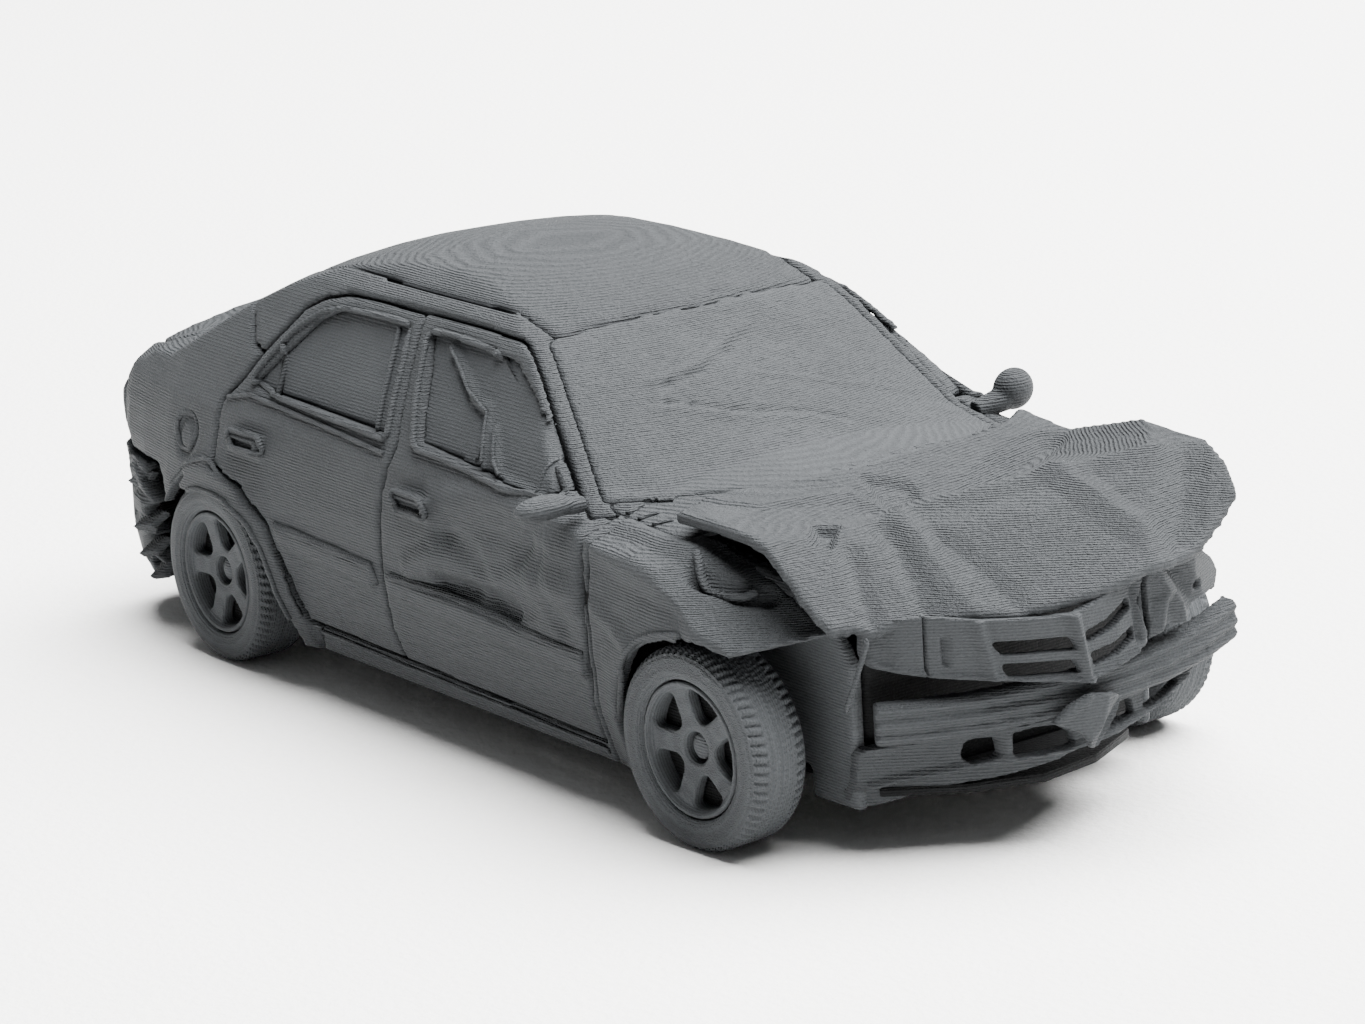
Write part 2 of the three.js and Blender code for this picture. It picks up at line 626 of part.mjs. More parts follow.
// The largest piece of a cut, without the crumbs beside it.
function mainPiece(solid) {
  return solid.decompose().sort((a, b) => b.volume() - a.volume())[0];
}

const cowlTop = [
  [FRONT - 5, -screenBase],
  [FRONT - 5.4, -11],
  [FRONT - 3, -5.5],
  [FRONT - 2.4, 0],
  [FRONT - 3, 5.5],
  [FRONT - 4, 11],
  [FRONT - 7, screenBase],
  ...screenFront.toReversed().map(([x, y]) => [x + PANEL_GAP, y]),
];
const cowlSpace = topCut(grow(cowlTop, SEAM));

// The windscreen with a pillar's width beside it, and the roof with its rail, which the doors stay out of.
const pillarSpace = topCut(grow(windscreenTop, A_PILLAR)).add(topCut(grow(roofTop, A_PILLAR)));

function addDoor(name, outline, window, side, trims) {
  const trim = trims
    .map((strip) => trimSkin.intersect(sideCut(strip, side)))
    .reduce((sum, piece) => sum.add(piece));
  const door = skin
    .intersect(sideCut(outline, side))
    .subtract(sideCut(window, side))
    .subtract(wellsAll)
    .subtract(pillarSpace)
    .subtract(cowlSpace)
    .add(trim);
  addPanel("door_" + name + "_" + sideName(side), mainPiece(door));
  const pane = paneSkin.intersect(sideCut(grow(window, -SEAT_GAP), side)).subtract(pillarSpace);
  addPanel("pane_" + name + "_" + sideName(side), mainPiece(pane));
}

const MOULDING_HEIGHT = 1.5;
const HANDLE_LENGTH = 4.4;
const HANDLE_HEIGHT = 1.1;
const frontMoulding = [
  [DOOR_SPLIT + 0.4, BELT_HEIGHT - 10.6],
  [DOOR_FRONT - 0.4, BELT_HEIGHT - 11.6],
  [DOOR_FRONT - 0.3, BELT_HEIGHT - 11.6 + MOULDING_HEIGHT],
  [DOOR_SPLIT + 0.4, BELT_HEIGHT - 10.6 + MOULDING_HEIGHT],
];
const rearMoulding = [
  [REAR + 10.2, BELT_HEIGHT - 9.8],
  [DOOR_SPLIT - 1.6, BELT_HEIGHT - 10.5],
  [DOOR_SPLIT - 1.3, BELT_HEIGHT - 10.5 + MOULDING_HEIGHT],
  [REAR + 9.3, BELT_HEIGHT - 9.8 + MOULDING_HEIGHT],
];

function handleAt(x, z) {
  return [
    [x, z],
    [x + HANDLE_LENGTH, z],
    [x + HANDLE_LENGTH, z + HANDLE_HEIGHT],
    [x, z + HANDLE_HEIGHT],
  ];
}

[RIGHT, LEFT].forEach((side) => {
  addDoor("front", frontDoor, frontWindow, side, [frontMoulding, handleAt(DOOR_SPLIT + 2.2, BELT_HEIGHT - 3.6)]);
  addDoor("rear", rearDoor, rearWindow, side, [rearMoulding, handleAt(REAR + 3, BELT_HEIGHT - 3.2)]);
});

// The frame of one side: rail over the doors, sill, and the posts behind the doors.
const topOpenings = [roofTop, windscreenTop, backlightTop].map((outline) => topCut(grow(outline, SEAM)));
const pillarRoom = topCut(grow(windscreenTop, A_PILLAR - PANEL_GAP)).add(topCut(grow(roofTop, A_PILLAR - PANEL_GAP)));
const doorOpenings = (side) =>
  [frontDoor, rearDoor].map((outline) => sideCut(grow(outline, PANEL_GAP), side).subtract(pillarRoom));
const without = (solid, cuts) => cuts.reduce((left, cut) => left.subtract(cut), solid);

const sideBand = [
  [quarterEdge + PANEL_GAP, SILL_HEIGHT - 1],
  [fenderRear - PANEL_GAP, SILL_HEIGHT - 1],
  [fenderRear - PANEL_GAP, ROOF_HEIGHT + 1],
  [REAR + 1, ROOF_HEIGHT + 1],
  [REAR - 0.6, RAIL_HEIGHT - 2.4],
  [REAR + 1.6, BELT_HEIGHT + 3.8],
  [REAR + 8, BELT_HEIGHT + 2.5],
  [REAR + 13, DOOR_BOTTOM + 1],
];
const postOutlines = [
  [
    [DOOR_FRONT - 1.2, SILL_HEIGHT + 1],
    [fenderRear - PANEL_GAP, SILL_HEIGHT + 1],
    [fenderRear - PANEL_GAP, BELT_HEIGHT],
    [DOOR_FRONT - 2.4, BELT_HEIGHT + 1.6],
  ],
  [
    [DOOR_SPLIT - 1.1, SILL_HEIGHT + 1],
    [DOOR_SPLIT + 1.1, SILL_HEIGHT + 1],
    [DOOR_SPLIT + 1.1, BELT_HEIGHT],
    [DOOR_SPLIT - 1.2, RAIL_HEIGHT + 1],
    [DOOR_SPLIT - 3.4, RAIL_HEIGHT + 1],
    [DOOR_SPLIT - 1.1, BELT_HEIGHT],
  ],
];

function addSideFrame(side) {
  const shell = without(frameSkin.intersect(sideCut(sideBand, side)), doorOpenings(side));
  const posts = postOutlines.map((outline) => postSkin.intersect(sideCut(outline, side)));
  const ring = posts.reduce((sum, post) => sum.add(post), shell);
  addPanel("side_frame_" + sideName(side), mainPiece(without(ring, [...topOpenings, wellsAll, cowlSpace])));
}
addSideFrame(RIGHT);
addSideFrame(LEFT);

// Roof and glass

addPanel("roof", mainPiece(skin.intersect(topCut(roofTop))));
addPanel("windscreen", mainPiece(skin.intersect(topCut(windscreenTop))));
addPanel("rear_window", mainPiece(skin.intersect(topCut(backlightTop))));

// The tail

const TAIL_LAMP = { inner: 9.8, outer: 17.6, low: BELT_HEIGHT - 5.9, high: BELT_HEIGHT - 1.9, deep: 3.2 };
const BUMPER_TOP = TAIL_LAMP.low - 1.6;

function tailLampSpace(side, gap) {
  const ys = [side * (TAIL_LAMP.inner - gap), side * (TAIL_LAMP.outer + gap)].sort((a, b) => a - b);
  return block([TAIL - 2, ys[0], TAIL_LAMP.low - gap], [TAIL + TAIL_LAMP.deep + gap, ys[1], TAIL_LAMP.high + gap]);
}

function tailPanelSpace(gap) {
  const half = TAIL_LAMP.inner - PANEL_GAP + gap;
  return block([TAIL - 2, -half, BUMPER_TOP + PANEL_GAP - gap], [TAIL + PANEL + 0.4 + gap, half, above - PANEL_GAP + gap]);
}

const quarter = [
  [TAIL - 1, BUMPER_TOP + PANEL_GAP],
  [REAR - 9.6, BUMPER_TOP + 0.6],
  [REAR - 7.6, BUMPER_TOP - 1.5],
  [REAR - 2, BUMPER_TOP - 4],
  [REAR + 5, BUMPER_TOP - 6],
  [quarterEdge - 2.3, SILL_HEIGHT - 1],
  [quarterEdge, SILL_HEIGHT - 1],
  [REAR + 13, DOOR_BOTTOM + 1],
  [REAR + 8, BELT_HEIGHT + 2.5],
  [REAR + 4, BELT_HEIGHT + 4],
  [REAR + 2, ROOF_HEIGHT + 1],
  [TAIL - 1, ROOF_HEIGHT + 1],
];

function addQuarter(side) {
  const cuts = [
    ...doorOpenings(side),
    sideCut(grow(sideBand, PANEL_GAP), side),
    sideCut(rearArch, side),
    ...topOpenings,
    topCut(grow(bootTop, PANEL_GAP)),
    tailLampSpace(side, PANEL_GAP),
    tailPanelSpace(PANEL_GAP),
    wellsAll,
  ];
  addPanel("quarter_panel_" + sideName(side), mainPiece(without(skin.intersect(sideCut(quarter, side)), cuts)));
  addPanel("tail_lamp_" + sideName(side), mainPiece(skin.intersect(tailLampSpace(side, 0))));
}
addQuarter(RIGHT);
addQuarter(LEFT);
addPanel("boot_lid", mainPiece(skin.intersect(topCut(bootTop))));
addPanel("tail_panel", mainPiece(skin.intersect(tailPanelSpace(0))));

const bumperSkin = lump(TRIM_PROUD + 0.3).subtract(lump(-PANEL));
const bumperEnd = REAR - ARCH_RADIUS - 0.6;
const bumperWhole = [
  [TAIL - 3, SILL_HEIGHT + 0.5],
  [bumperEnd - 1, SILL_HEIGHT + 0.5],
  [bumperEnd, SILL_HEIGHT + 4],
  [bumperEnd - 1.2, BUMPER_TOP],
  [TAIL - 3, BUMPER_TOP],
];
const bumperTorn = [
  [TAIL - 3, SILL_HEIGHT + 0.2],
  [TAIL + 3.5, SILL_HEIGHT + 0.8],
  [TAIL + 6.4, SILL_HEIGHT - 0.2],
  [TAIL + 5.2, SILL_HEIGHT + 2.4],
  [TAIL + 8.6, SILL_HEIGHT + 1.8],
  [TAIL + 6.6, SILL_HEIGHT + 4.2],
  [TAIL + 9.2, SILL_HEIGHT + 4.6],
  [TAIL + 7.0, SILL_HEIGHT + 6.4],
  [TAIL + 9.6, SILL_HEIGHT + 7.4],
  [TAIL + 8.2, SILL_HEIGHT + 9.2],
  [TAIL + 9.0, BUMPER_TOP],
  [TAIL - 3, BUMPER_TOP],
];
const reach = HALF_WIDTH + 3;
const bumperBand = prismY(bumperTorn, -reach, PANEL / 2).add(prismY(bumperWhole, 0, reach));
addPanel("rear_bumper", mainPiece(bumperSkin.intersect(bumperBand)));

// The front: bonnet, fenders and what is left of the nose

const BONNET_THICKNESS = 0.7;
add("bonnet", plate(bonnetGrid(), [0, 0, -BONNET_THICKNESS]));

addPanel("cowl_panel", mainPiece(skin.intersect(topCut(cowlTop))));

const fender = [
  [fenderRear, SILL_HEIGHT - 1],
  [FRONT + NOSE_REACH - 0.3, SILL_HEIGHT - 1],
  [FRONT + NOSE_REACH - 0.3, ROOF_HEIGHT],
  [fenderRear, ROOF_HEIGHT],
];
const FENDER_INNER = 15.2;
const bonnetBay = [
  [fenderRear - 1, -FENDER_INNER],
  [FRONT + 12, -FENDER_INNER + 1.2],
  [FRONT + 12, FENDER_INNER - 1.2],
  [fenderRear - 1, FENDER_INNER],
];

function addFender(side) {
  const cuts = [
    ...doorOpenings(side),
    sideCut(frontArch, side),
    prismZ(bonnetBay, 0, clearAbove),
    cowlSpace,
    wellsAll,
  ];
  addPanel("fender_" + sideName(side), mainPiece(without(skin.intersect(sideCut(fender, side)), cuts)));
}
addFender(RIGHT);
addFender(LEFT);

const RIBBED = [
  [0, 0], [0.9, 0.1], [1.2, 0.5], [0.9, 0.9], [1.3, 1.4], [0.9, 1.9], [1.2, 2.4], [0.8, 2.8], [0, 2.9],
];
const bumperBarPath = [
  [FRONT + 10.0, -12.6, 8.6],
  [FRONT + 11.6, -10, 8.6],
  [FRONT + 13.4, -6.6, 8.8],
  [FRONT + 15.2, -3.2, 9.2],
  [FRONT + 16.4, -0.6, 9.6],
  [FRONT + 16.4, 3, 9.7],
  [FRONT + 16.2, 7, 10.0],
  [FRONT + 15.8, 10.5, 10.5],
  [FRONT + 14.9, 13.7, 11.0],
];
add("bumper_bar", sweep(bumperBarPath, RIBBED));

const coverSection = (thick, tall) => [
  [-1.2, 0],
  [-1.2 + thick, 0],
  [-0.2 + thick, tall * 0.45],
  [0.1 + thick, tall],
  [0.1, tall],
  [-0.2, tall * 0.45],
];
const coverPath = [
  [FRONT + 9.8, -13, 3.4],
  [FRONT + 11.4, -9.5, 3.4],
  [FRONT + 12.6, -6, 3.5],
  [FRONT + 13.5, -2.5, 3.8],
  [FRONT + 13.9, 1.5, 4.1],
  [FRONT + 14.0, 5.5, 4.3],
  [FRONT + 13.6, 9.5, 4.6],
  [FRONT + 12.8, 13.5, 5],
];
const COVER_HEIGHT = 4.8;
const coverOpenings = [
  { from: -6.2, to: -3.6, low: 5.2, high: 7.4 },
  { from: -2.9, to: 1.6, low: 5.4, high: 7.7 },
  { from: 4.2, to: 6.6, low: 5.9, high: 8.2 },
  { from: 7.4, to: 11.6, low: 6.2, high: 8.6 },
];
const openings = coverOpenings.map(({ from, to, low, high }) =>
  block([FRONT + 9, from, low], [FRONT + 18, to, high]),
);
add("bumper_cover", without(sweep(coverPath, coverSection(0.9, COVER_HEIGHT)), openings));

add("bumper_flap", sweep(
  [[FRONT + 15.6, -3.6, 7.0], [FRONT + 16.6, -1.6, 6.6], [FRONT + 16.8, 0.6, 6.4], [FRONT + 16.5, 2.6, 6.8]],
  [[0, 0], [0.5, 0.1], [0.5, 1.7], [0, 1.8]],
));

const NOSE_LOW = BELT_HEIGHT - 9.2;
const grillePath = [
  [FRONT + 13.9, -8.3, NOSE_LOW],
  [FRONT + 16.6, -4.6, NOSE_LOW + 0.2],
  [FRONT + 18.3, -1.7, NOSE_LOW + 0.3],
  [FRONT + 18.4, 1.4, NOSE_LOW + 0.9],
  [FRONT + 17.9, 5, NOSE_LOW + 1.8],
];
const GRILLE_HEIGHT = 3.7;
const grilleSlots = [
  { from: -7.3, to: -2.3, up: 0.9, tall: 0.8 },
  { from: -7.0, to: -2.3, up: 2.3, tall: 0.8 },
  { from: -1.0, to: 3.8, up: 1.9, tall: 0.7 },
  { from: -1.0, to: 3.8, up: 3.2, tall: 0.7 },
].map(({ from, to, up, tall }) => block([FRONT + 10, from, NOSE_LOW + up], [FRONT + 22, to, NOSE_LOW + up + tall]));
const bladeSection = (thick, tall) => [[0, 0], [thick, 0.1], [thick, tall - 0.1], [0, tall]];
add("grille_panel", without(sweep(grillePath, bladeSection(0.9, GRILLE_HEIGHT)), grilleSlots));

add("headlamp_right", sweep(
  [[FRONT + 9.4, -13.9, NOSE_LOW + 0.7], [FRONT + 11.2, -11.6, NOSE_LOW + 0.2], [FRONT + 13.5, -8.7, NOSE_LOW]],
  bladeSection(0.9, 3.3),
));
add("headlamp_left", sweep(
  [[FRONT + 17.6, 5.5, NOSE_LOW + 2], [FRONT + 16.6, 9.4, NOSE_LOW + 2.2], [FRONT + 14.4, 13.4, NOSE_LOW + 2.4]],
  bladeSection(0.9, 3.2),
));

// The inner structure of the nose

const floorTop = FLOOR_HEIGHT + FLOOR_THICKNESS;
const WING_PLANE = 12.1;
const WING_THICKNESS = 0.8;
const axleHole = (x) => bar([x, -20, AXLE_HEIGHT], [x, 20, AXLE_HEIGHT], AXLE_BEAM_RADIUS + PANEL_GAP);

const innerWing = [
  [FRONT - 10.2, floorTop + PANEL_GAP],
  [FRONT + 3.3, floorTop + PANEL_GAP],
  [FRONT + 3.3, SILL_HEIGHT - 0.3],
  [FRONT + 8.2, SILL_HEIGHT - 0.1],
  [FRONT + 8.2, BELT_HEIGHT - 8],
  [FRONT + 5, BELT_HEIGHT - 3.8],
  [FRONT - 10.2, BELT_HEIGHT - 2],
];
function addInnerWing(side) {
  const ys = [side * WING_PLANE, side * (WING_PLANE + WING_THICKNESS)].sort((a, b) => a - b);
  add("inner_wing_" + sideName(side), prismY(innerWing, ys[0], ys[1]).subtract(axleHole(FRONT_AXLE)));
}
addInnerWing(RIGHT);
addInnerWing(LEFT);

const wingRoom = WING_PLANE - PANEL_GAP;
add("radiator_panel", block([FRONT + 7.2, -wingRoom, SILL_HEIGHT + 1], [FRONT + 8.2, wingRoom, BELT_HEIGHT - 6]));
add("bulkhead", block([FRONT - 11.4, -wingRoom - 2, floorTop + PANEL_GAP], [FRONT - 10.6, wingRoom + 2, BELT_HEIGHT - 3]));

const floorHalf = HALF_WIDTH - SIDE_SHAPE[0].inset - PANEL - PANEL_GAP - POST_DEPTH - PANEL_GAP;
const floorOutline = [
  [TAIL + 3, -10.5],
  [REAR - 9, -14],
  [REAR + 10, -floorHalf],
  [FRONT - 10, -floorHalf],
  [FRONT + 3, -WING_PLANE],
  [FRONT + 3, WING_PLANE],
  [FRONT - 10, floorHalf],
  [REAR + 10, floorHalf],
  [REAR - 9, 14],
  [TAIL + 3, 10.5],
];
add("floor_pan", prismZ(floorOutline, FLOOR_HEIGHT, floorTop).subtract(wellsAll));

add("lamp_strut", sweep(
  [[FRONT + 9.9, -14.6, 11.2], [FRONT + 10.6, -14.3, 13.4], [FRONT + 10.9, -13.6, 15.9]],
  [[0, 0], [0.5, 0], [0.5, 0.5], [0, 0.5]],
));

// Mirrors

const MIRRORS = [
  { side: RIGHT, at: [DOOR_FRONT - 2.6, HALF_WIDTH + 0.9, BELT_HEIGHT + 0.3], half: [1.2, 2.3, 0.8] },
  { side: LEFT, at: [DOOR_FRONT - 2.4, HALF_WIDTH + 1.5, BELT_HEIGHT + 1.3], half: [1.0, 1.3, 1.15] },
];
const MIRROR_STEM = 0.55;
MIRRORS.forEach(({ side, at: [x, y, z], half }) => {
  const head = new THREE.SphereGeometry(1, 14, 9);
  head.scale(...half).translate(x, side * y, z);
  const stem = bar([x, side * (y - 0.4), z - 0.2], [x + 0.2, side * (HALF_WIDTH - 2.2), BELT_HEIGHT], MIRROR_STEM, 10);
  add("mirror_" + sideName(side), mainPiece(fromGeometry(head).add(stem).subtract(lump(SEAM))));
});

// Axles and wheels

const PIN_END = WHEEL_PLANE + TYRE_WIDTH / 2 - 1.3;
const KNUCKLE_END = WHEEL_PLANE - 0.9;
const KNUCKLE_START = WING_PLANE + WING_THICKNESS + PANEL_GAP;
const HUB_START = KNUCKLE_END + PANEL_GAP;

function pinFrom(x, side, start) {
  return bar([x, side * start, AXLE_HEIGHT], [x, side * PIN_END, AXLE_HEIGHT], PIN_RADIUS, 16);
}

const beam = (x, end) => bar([x, -end, AXLE_HEIGHT], [x, end, AXLE_HEIGHT], AXLE_BEAM_RADIUS);
const rearPins = pinFrom(REAR_AXLE, RIGHT, 10).add(pinFrom(REAR_AXLE, LEFT, 10));
add("rear_axle", beam(REAR_AXLE, KNUCKLE_END).add(rearPins));
add("front_axle", beam(FRONT_AXLE, KNUCKLE_START - PANEL_GAP));

// A closed ring turned about the wheel's axis, which is Y, from [radius, place along the axis] points.
function turned(profile, steps) {
  const points = [...profile, profile[0]].map(([r, y]) => new THREE.Vector2(r, y));
  const geometry = new THREE.LatheGeometry(points, steps);
  return fromGeometry(geometry);
}

const halfTyre = TYRE_WIDTH / 2;
const bead = RIM_RADIUS + SEAT_GAP;
const tyreProfile = [
  [bead, -halfTyre + 0.45],
  [bead + 0.5, -halfTyre + 0.1],
  [bead + 1.2, -halfTyre],
  [TYRE_RADIUS - 0.55, -halfTyre + 0.25],
  [TYRE_RADIUS, -halfTyre + 0.85],
  [TYRE_RADIUS, halfTyre - 0.85],
  [TYRE_RADIUS - 0.55, halfTyre - 0.25],
  [bead + 1.2, halfTyre],
  [bead + 0.5, halfTyre - 0.1],
  [bead, halfTyre - 0.45],
];

// The rim: a barrel, a face with a window between each two spokes, and a hub bored for the pin.
function rimSolid() {
  const halfRim = halfTyre - 0.25;
  const barrel = turned(
    [
      [RIM_RADIUS - RIM_WALL, -halfRim],
      [RIM_RADIUS, -halfRim],
      [RIM_RADIUS, halfRim],
      [RIM_RADIUS - RIM_WALL, halfRim],
    ],
    WHEEL_STEPS,
  );
  const inner = HUB_RADIUS + 0.1;
  const outerReach = RIM_RADIUS - RIM_WALL - 0.15;
  const turn = (2 * Math.PI) / SPOKES;
  const halfInner = turn / 2 - SPOKE_WIDTH / 2 / inner / 1.15;
  const halfOuter = turn / 2 - SPOKE_WIDTH / 2 / outerReach;
  const faceDisc = new THREE.Shape().absarc(0, 0, RIM_RADIUS - RIM_WALL / 2, 0, 2 * Math.PI);
  for (let k = 0; k < SPOKES; k++) {
    const middle = turn * (k + 0.5);
    const hole = new THREE.Path();
    hole.absarc(0, 0, outerReach, middle - halfOuter, middle + halfOuter, false);
    hole.absarc(0, 0, inner, middle + halfInner, middle - halfInner, true);
    hole.closePath();
    faceDisc.holes.push(hole);
  }
  const face = new THREE.ExtrudeGeometry(faceDisc, {
    depth: RIM_FACE_THICKNESS,
    bevelEnabled: false,
    curveSegments: 5,
  });
  face.rotateX(-Math.PI / 2).translate(0, halfRim - 0.3 - RIM_FACE_THICKNESS, 0);
  const hubFace = halfRim - 0.1;
  const hubLength = WHEEL_PLANE + hubFace - HUB_START;
  const hub = new THREE.CylinderGeometry(HUB_RADIUS, HUB_RADIUS, hubLength, 16);
  hub.translate(0, hubFace - hubLength / 2, 0);
  const bore = new THREE.CylinderGeometry(PIN_RADIUS + PIN_CLEARANCE, PIN_RADIUS + PIN_CLEARANCE, 20, 16);
  return barrel.add(fromGeometry(face)).add(fromGeometry(hub)).subtract(fromGeometry(bore));
}

const tyre = turned(tyreProfile, WHEEL_STEPS);
const rim = rimSolid();
const knuckleStart = KNUCKLE_START - WHEEL_PLANE;
const knuckle = bar([0, knuckleStart, 0], [0, KNUCKLE_END - WHEEL_PLANE, 0], KNUCKLE_RADIUS, 12).add(
  bar([0, knuckleStart + 0.5, 0], [0, PIN_END - WHEEL_PLANE, 0], PIN_RADIUS, 16),
);

const WHEELS = [
  { name: "front_right", x: FRONT_AXLE, side: RIGHT, steer: STEER_ANGLE },
  { name: "front_left", x: FRONT_AXLE, side: LEFT, steer: STEER_ANGLE },
  { name: "rear_right", x: REAR_AXLE, side: RIGHT, steer: 0 },
  { name: "rear_left", x: REAR_AXLE, side: LEFT, steer: 0 },
];
const darker = { color: 0x6d7376, roughness: 0.85 };
WHEELS.forEach(({ name, x, side, steer }) => {
  const station = new THREE.Group();
  station.position.set(x, side * WHEEL_PLANE, AXLE_HEIGHT);
  const facing = side === RIGHT ? Math.PI : 0;
  station.rotation.z = THREE.MathUtils.degToRad(steer) + facing;
  car.add(station);
  station.add(add("tyre_" + name, tyre, darker), add("rim_" + name, rim, darker));
  if (steer) station.add(add("knuckle_" + sideName(side), knuckle));
});

// The origin lies under the middle of the car's box.
const box = new THREE.Box3().setFromObject(car);
const part = new THREE.Group();
car.position.set(-(box.min.x + box.max.x) / 2, -(box.min.y + box.max.y) / 2, -box.min.z);
part.add(car);

export default part;
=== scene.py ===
import json
import math
import bmesh
import bpy
import numpy as np
from mathutils import Matrix, Vector
from mathutils.bvhtree import BVHTree
from mathutils.geometry import tessellate_polygon


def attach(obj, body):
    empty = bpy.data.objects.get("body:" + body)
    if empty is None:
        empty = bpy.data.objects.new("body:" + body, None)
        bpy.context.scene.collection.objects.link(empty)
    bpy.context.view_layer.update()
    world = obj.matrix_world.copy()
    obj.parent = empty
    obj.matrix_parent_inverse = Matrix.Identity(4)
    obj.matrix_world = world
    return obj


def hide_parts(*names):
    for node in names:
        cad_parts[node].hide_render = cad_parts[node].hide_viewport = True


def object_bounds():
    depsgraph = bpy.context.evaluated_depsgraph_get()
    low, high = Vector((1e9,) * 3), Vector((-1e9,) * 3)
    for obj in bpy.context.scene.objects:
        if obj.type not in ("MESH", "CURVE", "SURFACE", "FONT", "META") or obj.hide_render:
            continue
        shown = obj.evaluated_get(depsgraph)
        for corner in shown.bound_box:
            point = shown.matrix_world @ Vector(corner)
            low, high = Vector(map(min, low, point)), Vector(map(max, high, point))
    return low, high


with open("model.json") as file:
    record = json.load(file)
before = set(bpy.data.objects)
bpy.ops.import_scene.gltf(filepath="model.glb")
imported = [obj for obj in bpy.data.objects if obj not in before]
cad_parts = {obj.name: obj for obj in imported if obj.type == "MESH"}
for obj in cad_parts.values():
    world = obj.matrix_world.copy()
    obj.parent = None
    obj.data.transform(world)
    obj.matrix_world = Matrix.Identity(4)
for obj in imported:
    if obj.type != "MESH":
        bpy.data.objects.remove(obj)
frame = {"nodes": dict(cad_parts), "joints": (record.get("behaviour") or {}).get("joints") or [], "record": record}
cad_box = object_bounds()

# A crashed four-door saloon, printed layer by layer in one matte grey plastic as a small display model.
# The forms are written in car millimetres: x runs forward from the rear axle, y to the car's left, z up.

MM = 0.001
JOINTS = {joint["name"]: joint for joint in frame["joints"]}
REAR_WHEEL = Vector((-0.8, -18.1, 7.573))
ORIGIN = Vector(JOINTS["spin_rear_right"]["pos_m"]) - REAR_WHEEL * MM
TO_CAR = Matrix.Scale(1 / MM, 4) @ Matrix.Translation(-ORIGIN)
TO_FRAME = TO_CAR.inverted()
LAYER = 0.216
BOX_LOW, BOX_HIGH = [np.array(TO_CAR @ Vector(corner)) for corner in cad_box]


def place(x, y, z):
    """A point of the car, in the frame's metres."""
    return ORIGIN + Vector((x, y, z)) * MM


# Camera

CAMERA_AT = (303.24, -190.58, 106.0)
CAMERA_AZIMUTH = math.radians(-35.178)
CAMERA_ELEVATION = math.radians(15.465)
CAMERA_ROLL = math.radians(-3.496)
CAMERA_LENS = 124.02


def add_camera():
    forward = Vector((
        -math.cos(CAMERA_ELEVATION) * math.cos(CAMERA_AZIMUTH),
        -math.cos(CAMERA_ELEVATION) * math.sin(CAMERA_AZIMUTH),
        -math.sin(CAMERA_ELEVATION),
    ))
    level = forward.cross(Vector((0, 0, 1))).normalized()
    rise = level.cross(forward)
    across = math.cos(CAMERA_ROLL) * level + math.sin(CAMERA_ROLL) * rise
    upward = math.cos(CAMERA_ROLL) * rise - math.sin(CAMERA_ROLL) * level
    turn = Matrix((across, upward, -forward)).transposed().to_4x4()
    data = bpy.data.cameras.new("camera")
    data.lens = CAMERA_LENS
    data.sensor_width = 36
    data.clip_start = 0.01
    camera = bpy.data.objects.new("camera", data)
    camera.matrix_world = Matrix.Translation(place(*CAMERA_AT)) @ turn
    bpy.context.scene.collection.objects.link(camera)
    bpy.context.scene.camera = camera


add_camera()


# Shader maths

class Value:
    """A number that changes over a surface: Python's operators add the Math nodes."""

    def __init__(self, tree, socket):
        self.tree = tree
        self.socket = socket

    def math(self, operation, *others, clamp=False):
        made = self.tree.node("ShaderNodeMath", {"operation": operation, "use_clamp": clamp}, [self, *others])
        return made[0]

    def __add__(self, other):
        return self.math("ADD", other)

    def __sub__(self, other):
        return self.math("SUBTRACT", other)

    def __mul__(self, other):
        return self.math("MULTIPLY", other)

    def __rsub__(self, other):
        return self.tree.number(other).math("SUBTRACT", self)

    __radd__ = __add__
    __rmul__ = __mul__

    def sine(self):
        return self.math("SINE")

    def clamped(self):
        return self.math("MULTIPLY", 1.0, clamp=True)


class Tree:
    """One material's nodes."""

    def __init__(self, name):
        self.material = bpy.data.materials.new(name)
        self.material.use_nodes = True
        self.nodes = self.material.node_tree.nodes
        self.links = self.material.node_tree.links
        self.shader = self.nodes["Principled BSDF"]

    def node(self, kind, settings=None, sockets=()):
        """Adds a node; its inputs come in order, or by name, as numbers, tuples or other nodes' values."""
        made = self.nodes.new(kind)
        for name, setting in (settings or {}).items():
            setattr(made, name, setting)
        pairs = sockets.items() if isinstance(sockets, dict) else enumerate(sockets)
        for key, value in pairs:
            self.feed(made.inputs[key], value)
        return [Value(self, output) for output in made.outputs]

    def feed(self, socket, value):
        if isinstance(value, Value):
            self.links.new(value.socket, socket)
        elif value is not None:
            socket.default_value = value

    def number(self, value):
        return self.node("ShaderNodeMath", {"operation": "ADD"}, [value, 0.0])[0]

    def mix(self, factor, first, second):
        made = self.node("ShaderNodeMix", {"data_type": "RGBA"}, {0: factor, 6: first, 7: second})
        return made[2]

    def noise(self, where, scale, detail=2.0, roughness=0.5):
        sockets = {"Vector": where, "Scale": scale, "Detail": detail, "Roughness": roughness}
        return self.node("ShaderNodeTexNoise", {}, sockets)[0]


# Materials

